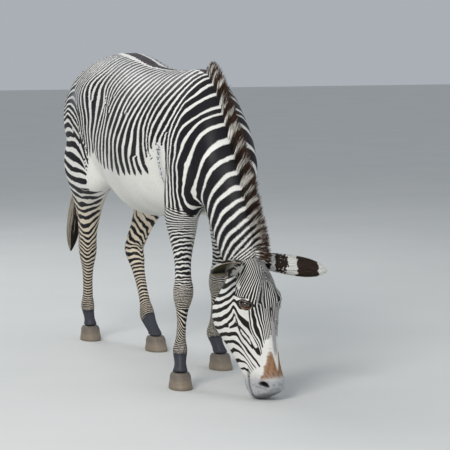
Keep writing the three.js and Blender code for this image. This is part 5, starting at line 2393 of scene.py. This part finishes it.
@dataclass(frozen=True)
class TailTuft:
    """The long hair at the tail's end."""

    count: int = 1050
    steps: int = 11
    top: float = 880.0  # height of the first hair, mm
    fall: float = 420.0  # from there to the tip
    # part of the way down, centre, radius fore and aft, half-width
    line = {
        "dock": (0.0, -1489, -74, 880, 17, 19),
        "top": (0.08, -1492, -80, 850, 24, 27),
        "full": (0.35, -1500, -104, 735, 34, 40),
        "low": (0.65, -1506, -124, 605, 32, 38),
        "end": (0.9, -1508, -136, 500, 17, 20),
        "tip": (1.0, -1508, -140, 464, 3, 3),
    }

    def build(self, finish: bpy.types.Material) -> bpy.types.Object:
        """Hangs the strands: each keeps its place round the tuft as it falls.

        Args:
            finish: the material.

        Returns:
            The piece.
        """
        rng = np.random.default_rng(SEED + 80)
        table = np.array(list(self.line.values()), float)
        start = 0.55 * rng.random(self.count) ** 1.6
        stop = np.clip(start + rng.uniform(0.4, 0.75, self.count), 0.5, 1.0)
        t = np.linspace(0, 1, self.steps)[None]
        down = start[:, None] + (stop - start)[:, None] * t
        rows = hermite(table[:, 1:], table[:, 0], down.ravel()).reshape(self.count, self.steps, 5)
        turn = rng.uniform(0, 2 * math.pi, self.count)[:, None]
        turn = turn + 0.5 * t * rng.normal(0, 1, (self.count, 1))
        out = np.sqrt(rng.random(self.count))[:, None] * (0.85 + 0.1 * t)
        wave = 1 + 0.08 * np.sin(down * 16 + rng.uniform(0, 6.28, (self.count, 1)))
        x = rows[..., 0] + rows[..., 3] * out * np.cos(turn) * wave
        y = rows[..., 1] + rows[..., 4] * out * np.sin(turn) * wave
        paths = np.stack([x, y, rows[..., 2]], -1)
        thick = curve(t[0, :-1], {0: 1.2, 0.2: 1.7, 0.8: 1.3, 1: 0.6})[None]
        thick = thick * rng.uniform(0.8, 1.3, (self.count, 1))
        points, faces = strands(paths, thick)
        item = make_object("tail_locks", points, faces)
        lock = np.repeat(np.arange(self.count), 3 * (self.steps - 1) + 1)
        count = len(lock)
        # painted sheen: the outer strands on the tuft's right side, towards the key light, take the pale
        # colour; some strands from the top are pale at random
        edge = (out[:, -1] > 0.7) & (np.sin(turn[:, 0]) < -0.55)
        pale = edge | (start < 0.05) & (rng.random(self.count) < 0.4)
        dark = np.tile(HAIR.tail_black, (count, 1)) * rng.uniform(0.7, 1.6, self.count)[lock][:, None]
        light = np.tile(HAIR.tail_pale_and_sheen, (count, 1)) * rng.uniform(0.8, 1.1, self.count)[lock][:, None]
        white = np.where(pale, 1.05, 0.0)[lock]
        none = np.zeros((count, 3))
        Marks(none, none[:, 0], none, white, light, dark, np.ones(count)).store(item.data)
        across = ((turn[:, 0] / (2 * math.pi)) % 1.0)[lock]
        along = np.clip((self.top - points[:, 2]) / self.fall, 0, 1)
        put_map(item.data, np.stack([0.01 + 0.98 * along, 0.01 + 0.98 * across], 1))
        item.data.materials.append(finish)
        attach(item, "root")
        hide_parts("tail_tuft")
        return item


# ---------------------------------------------------------------- hooves and eyes

HOOF_PROFILE = {
    # height, reach ahead, behind, half-width
    "ground": (0, 78.5, 46.5, 52.5),
    "edge": (5, 78, 47.5, 53.2),
    "wall": (37.5, 63, 46, 49),
    "crown": (69, 48.5, 43.5, 43),
    "top": (74.7, 44, 40, 39.5),
}


@dataclass(frozen=True)
class Hoof:
    """A hoof of horn: rings of growth, a worn lower edge and a cleft at the heel."""

    limb: Limb
    rings: int = 54
    around: int = 84
    high: float = 74.7

    def build(self, finish: bpy.types.Material) -> bpy.types.Object:
        """Builds the wall, the closed top and the hollow sole.

        Args:
            finish: the material.

        Returns:
            The piece.
        """
        table = np.array(list(HOOF_PROFILE.values()), float)
        z = np.linspace(0, self.high, self.rings)
        ahead, behind, half = (v[:, None] for v in hermite(table[:, 1:], table[:, 0], z).T)
        a = np.linspace(0, 2 * math.pi, self.around, endpoint=False)[None]
        cosine, sine = np.cos(a), np.sin(a)
        power = 2 / np.where(cosine > 0, 2.1, 2.6)
        x = signed_power(cosine, power) * np.where(cosine > 0, ahead, behind)
        y = signed_power(sine, power) * half
        flat = np.stack([x.ravel(), y.ravel(), np.repeat(z, self.around)], 1)
        rise = flat[:, 2]
        out = unit(flat * vec(1, 1, 0))
        ring = np.sin(rise / 5.2 * 2 * math.pi / 1.35 + 0.5 * wander(flat, 50, 61))
        ring = 0.42 * ring * ramp(72, 60, rise)
        worn = -1.6 * ramp(9, 0, rise) * (0.6 + 0.8 * wander(flat, 14, 62))
        heel = -5.0 * bump(flat[:, 1], 0, 10) * ramp(-20, -36, flat[:, 0]) * ramp(14, 30, rise)
        flat = flat + out * (ring + np.minimum(worn, 0) + heel + 0.3 * wander(flat, 9, 63))[:, None]
        foot = flat[: self.around]
        rim, frog = foot * vec(0.87, 0.87, 0) + vec(0, 0, 1.0), foot * vec(0.5, 0.4, 0) + vec(-6, 0, 5.0)
        sole = np.stack([rim, frog])
        rows = np.concatenate([sole[::-1].reshape(-1, 3), flat])
        ends = np.stack([rows[: self.around].mean(0), rows[-self.around :].mean(0)])
        local = np.concatenate([rows, ends])
        heading = self.limb.heading()
        beside = vec(-heading[1], heading[0], 0)
        centre = np.array(self.limb.joints[-1], float) * vec(1, 1, 0)
        points = centre + local[:, :1] * heading + local[:, 1:2] * beside + local[:, 2:] * vec(0, 0, 1)
        name = self.limb.name.replace("leg", "hoof")
        item = make_object(name + "_horn", points, as_rows(*tube(self.rings + 2, self.around)))
        x, y, z = local.T
        put_values(item.data, "wall", np.stack([z / 75, np.arctan2(y, x), 0 * z], 1))
        item.data.materials.append(finish)
        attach(item, "root")
        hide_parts(name)
        return item


def horn_material() -> bpy.types.Material:
    """Horn: tan and grey, darker at the crown, ringed across and streaked downwards, dusty below."""
    item, g, shader = new_material("horn")
    height, turn, _ = g.split(g.attribute("wall").outputs["Vector"])
    streak_at = g.add("ShaderNodeCombineXYZ")
    g.feed(streak_at.inputs[0], g.math("MULTIPLY", turn, 9.0))
    g.feed(streak_at.inputs[1], g.math("MULTIPLY", height, 1.2))
    streak = g.noise(streak_at.outputs[0], 2.2, 4, 0.65)
    rings = g.noise(g.place((6, 6, 170)), 1.0, 3, 0.6)
    cloud = g.noise(g.place(), 28, 4, 0.6)
    colour = g.tint(g.span(height, 0.25, 0.98), (0.235, 0.185, 0.135, 1), (0.115, 0.100, 0.088, 1))
    colour = g.tint(g.span(streak, 0.35, 0.7, (0, 0.55)), colour, (0.30, 0.245, 0.18, 1))
    colour = g.tint(g.span(rings, 0.4, 0.75, (0, 0.4)), colour, (0.10, 0.085, 0.07, 1))
    colour = g.tint(g.span(height, 0.22, 0.0, (0, 0.5)), colour, (0.16, 0.14, 0.105, 1))
    colour = g.tint(g.span(cloud, 0.5, 0.8, (0, 0.35)), colour, (0.27, 0.23, 0.17, 1))
    g.feed(shader["Base Color"], colour)
    g.feed(shader["Roughness"], g.span(cloud, 0.3, 0.8, (0.48, 0.7)))
    relief = g.math("ADD", g.math("MULTIPLY", rings, 0.8), g.math("MULTIPLY", streak, 0.6))
    g.feed(shader["Normal"], g.raise_by(relief, 0.35, 0.0012))
    return item


@dataclass(frozen=True)
class Eye:
    """An eyeball with a raised cornea, set in its socket."""

    side: Side
    face: Face
    radius: float = 20.2
    cornea: float = 1.5  # how high it stands
    rings: int = 58
    around: int = 72

    def build(self, finish: bpy.types.Material) -> bpy.types.Object:
        """Rings of points from the eye's front to its back.

        Args:
            finish: the material.

        Returns:
            The piece.
        """
        polar = np.linspace(0, math.pi, self.rings + 2)[1:-1, None]
        turn = np.linspace(0, 2 * math.pi, self.around, endpoint=False)[None]
        centre, axes = self.face.eye_frame(self.side.value)
        swell = self.radius + self.cornea * ramp(0.72, 0.45, polar)
        wide = np.sin(polar)
        ball = np.stack([wide * np.cos(turn), wide * np.sin(turn), np.cos(polar) + 0 * turn], -1)
        ends = np.array([[0, 0, 1.0], [0, 0, -1.0]])
        ends = ends * [[self.radius + self.cornea], [self.radius]]
        local = np.concatenate([(ball * swell[..., None]).reshape(-1, 3), ends])
        faces = as_rows(*tube(self.rings, self.around, turned=True))
        if np.linalg.det(axes) < 0:
            faces = np.where(faces[:, 3:] < 0, faces[:, [0, 2, 1, 3]], faces[:, [3, 2, 1, 0]])
        name = f"eye_{self.side.name.lower()}"
        item = make_object(name + "_ball", centre + local @ axes, faces)
        put_values(item.data, "spot", local / self.radius)
        item.data.materials.append(finish)
        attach(item, "root")
        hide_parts(name)
        return item


def eye_material() -> bpy.types.Material:
    """A wet dark eye: a level oval pupil, a brown iris with rays, a darker rim and brown white."""
    item, g, shader = new_material("wet_eye")
    x, y, _ = g.split(g.attribute("spot").outputs["Vector"])
    pupil_long, pupil_high = 0.42, 0.2  # half its size, of the eyeball's radius
    wide, high = g.math("DIVIDE", x, pupil_long), g.math("DIVIDE", y, pupil_high)
    pupil = g.math("SQRT", g.math("ADD", g.math("POWER", wide, 2.0), g.math("POWER", high, 2.0)))
    reach = g.math("SQRT", g.math("ADD", g.math("MULTIPLY", x, x), g.math("MULTIPLY", y, y)))
    turn = g.math("ARCTAN2", y, x)
    ray_at = g.add("ShaderNodeCombineXYZ")
    g.feed(ray_at.inputs[0], g.math("MULTIPLY", turn, 6.0))
    g.feed(ray_at.inputs[1], reach)
    rays = g.noise(ray_at.outputs[0], 3.0, 4, 0.6)
    iris = g.tint(g.span(rays, 0.3, 0.7), (0.018, 0.008, 0.005, 1), (0.075, 0.032, 0.014, 1))
    iris = g.tint(g.span(reach, 0.5, 0.66, (0, 0.85)), iris, (0.010, 0.006, 0.005, 1))
    veins = g.noise(g.place(), 260, 3, 0.7)
    rim = g.tint(g.span(veins, 0.5, 0.75), (0.085, 0.050, 0.038, 1), (0.13, 0.055, 0.045, 1))
    colour = g.tint(g.span(reach, 0.68, 0.76), iris, rim)
    colour = g.tint(g.span(pupil, 0.9, 1.1), (0.002, 0.002, 0.0025, 1), colour)
    g.feed(shader["Base Color"], colour)
    g.feed(shader["Roughness"], g.span(veins, 0.2, 0.8, (0.03, 0.08)))
    for key, value in {"Specular IOR Level": 0.6, "Coat Weight": 1.0, "Coat Roughness": 0.02}.items():
        shader[key].default_value = value
    return item


# ---------------------------------------------------------------- the setting


def aim(item: bpy.types.Object, *columns: np.ndarray) -> None:
    """Places a camera or light by its own three directions and its place."""
    frame = np.eye(4)
    frame[:3] = np.stack(columns, 1)
    item.matrix_world = Matrix(frame.tolist())


@dataclass(frozen=True)
class Setting:
    """The floor, the lights and the camera."""

    distance: float = 9.25  # camera to the withers along its view, m
    aside: float = -0.079  # the withers' place to the right of the view's middle
    height: float = 1.66
    turn: float = math.radians(24)  # between the body's run and the view
    pitch: float = math.atan(0.1)
    lens: float = 160.0
    reach: float = 40.0  # of the floor each way, m

    def build(self) -> None:
        """Makes floor, lights and camera."""
        self.floor()
        self.lights()
        self.camera()
        bpy.context.scene.view_settings.view_transform = "Standard"

    def directions(self) -> tuple[np.ndarray, np.ndarray]:
        """The view's level direction, and the way to its right."""
        c, s = math.cos(self.turn), math.sin(self.turn)
        return vec(-c, s, 0), vec(s, c, 0)

    def camera(self) -> None:
        """A long lens from the animal's right front, looking slightly down."""
        forward, right = self.directions()
        place = right * -self.aside - forward * self.distance + ORIGIN / MM
        look = forward * math.cos(self.pitch) - vec(0, 0, math.sin(self.pitch))
        up = np.cross(right, look)
        data = bpy.data.cameras.new("camera")
        data.lens = self.lens
        data.sensor_width = 36
        item = linked("camera", data)
        aim(item, right, up, -look, vec(place[0], place[1], self.height))
        bpy.context.scene.camera = item

    def floor(self) -> None:
        """A wide pale floor, faintly clouded."""
        mesh = bpy.data.meshes.new("floor")
        corners = np.array([(-1, -1, 0), (1, -1, 0), (1, 1, 0), (-1, 1, 0)]) * self.reach
        mesh.from_pydata(corners.tolist(), [], [(0, 1, 2, 3)])
        item = linked("floor", mesh)
        material, g, shader = new_material("floor_paint")
        cloud = g.noise(g.place(), 1.3, 3)
        g.feed(shader["Base Color"], g.tint(cloud, (0.62, 0.63, 0.61, 1), (0.70, 0.70, 0.68, 1)))
        shader["Roughness"].default_value = 0.8
        mesh.materials.append(material)

    def lights(self) -> None:
        """A broad key light from the front left of the view, a fill, a rim light and a pale sky."""
        self.area("key", (5.5, -6.0, 6.0), 3.6, 520, (1.0, 0.975, 0.94))
        self.area("fill", (6.0, 4.5, 3.0), 5.0, 90, (0.93, 0.96, 1.0))
        self.area("rim", (-5.0, -1.0, 5.5), 3.5, 150, (0.96, 0.98, 1.0))
        world = bpy.data.worlds.new("sky")
        world.use_nodes = True
        sky = world.node_tree.nodes["Background"]
        sky.inputs[0].default_value = (0.80, 0.86, 0.93, 1)
        sky.inputs[1].default_value = 0.5
        bpy.context.scene.world = world

    def area(self, name: str, place: Vector, size: float, power: float, colour: Colour) -> None:
        """A square light aimed at the animal's middle.

        Args:
            name: its name.
            place: in the part's frame, m.
            size: of a side, m.
            power: W.
            colour: of its light.
        """
        data = bpy.data.lights.new(name, "AREA")
        data.size = size
        data.energy = power
        data.color = colour
        away = unit(vec(*place) - vec(0.1, 0, 0.8))
        right = unit(np.cross(vec(0, 0, 1), away))
        aim(linked(name, data), right, np.cross(away, right), away, vec(*place))


def grow_coat(pelt: Pelt, finish: bpy.types.Material) -> None:
    """Covers the skin with tufts: none on the eyes, fewer on muzzle, face, poll and stripes' edges.

    Args:
        pelt: the finished skin.
        finish: the hair's material.
    """
    head = pelt.anatomy.head
    down, out, left = head.inside(pelt.points).T
    y = pelt.points[:, 1]
    eye = np.hypot(down - head.eye_down, out - head.eye_out) * np.where(np.abs(left) > 60, 1, 9)
    bare = np.maximum(ramp(26, 20, eye), ramp(545, 590, down) * ramp(700, 640, down) * 0.9)
    weight = (1.0 - bare) * np.clip(np.abs(pelt.marks.over()) / 0.35, 0.15, 1)
    on_head, on_neck = (pelt.region == pelt.names.index(name) for name in ("head", "neck"))
    weight = weight * (1 - 0.85 * on_head * pelt.marks.mixes[:, 2])
    weight = weight * (1 - 0.7 * ramp(6.4, 7.6, pelt.places["neck"].station) * on_neck)
    coat = Coat(pelt, finish)
    body, leg = TuftSize(44000, (9, 14), 3.2, 1.5), TuftSize(18500, (6, 9), 2.3, 1.1)
    coat.piece("coat_trunk_right", {"trunk": body}, weight * (y < 0), 91)
    coat.piece("coat_trunk_left", {"trunk": body}, weight * (y >= 0), 92)
    coat.piece("coat_neck", {"neck": TuftSize(38000, (9, 14), 3.0, 1.4)}, weight, 93)
    small = TuftSize(5000, (5, 8), 1.7, 1.0)
    face = TuftSize(20000, (3.5, 5.5), 1.3, 0.6)
    coat.piece("coat_head", {"head": face, "ear_left": small, "ear_right": small}, weight, 94)
    coat.piece("coat_fore_legs", {"foreleg_right": leg, "foreleg_left": leg}, weight, 95)
    hind = TuftSize(21000, (7, 10), 2.5, 1.2)
    dock = TuftSize(4000, (10, 15), 2.4, 1.4)
    coat.piece("coat_hind_legs", {"hindleg_right": hind, "hindleg_left": hind, "tail": dock}, weight, 96)
    LOG.info("coat done")


def main() -> None:
    """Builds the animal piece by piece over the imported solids."""
    logging.basicConfig(level=logging.INFO, format="%(message)s")
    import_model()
    Setting().build()
    anatomy = Anatomy()
    markings = Markings(anatomy)
    group = hair_group()
    coat = HairFinish("coat_hair").material(group)
    skin = Skin(anatomy).build()
    points = read_points(skin.data)
    places = anatomy.places(points)
    marks = markings.at(points, places)
    marks.store(skin.data)
    skin.data.materials.clear()
    skin.data.materials.append(coat)
    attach(skin, "root")
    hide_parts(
        "trunk", "neck", "head", "ear_left", "ear_right", "tail", *(limb.name for limb in LIMBS)
    )
    LOG.info("skin: %d faces", len(skin.data.polygons))
    face = Face(anatomy.head)
    eye = eye_material()
    for side in Side:
        Eye(side, face).build(eye)
    horn = horn_material()
    for limb in LIMBS:
        Hoof(limb).build(horn)
    strand = HairFinish("strand_hair", contrast=0.18, bump=0.1).material(group)
    Mane(anatomy).build(markings, strand)
    TailTuft().build(strand)
    LOG.info("mane and tail done")
    grow_coat(Pelt(anatomy, skin.data, points, places, marks), coat)


def plain(box: object) -> list:
    """A box as plain lists of numbers."""
    return [[float(value) for value in corner] for corner in box]


if __name__ == "__main__":
    main()
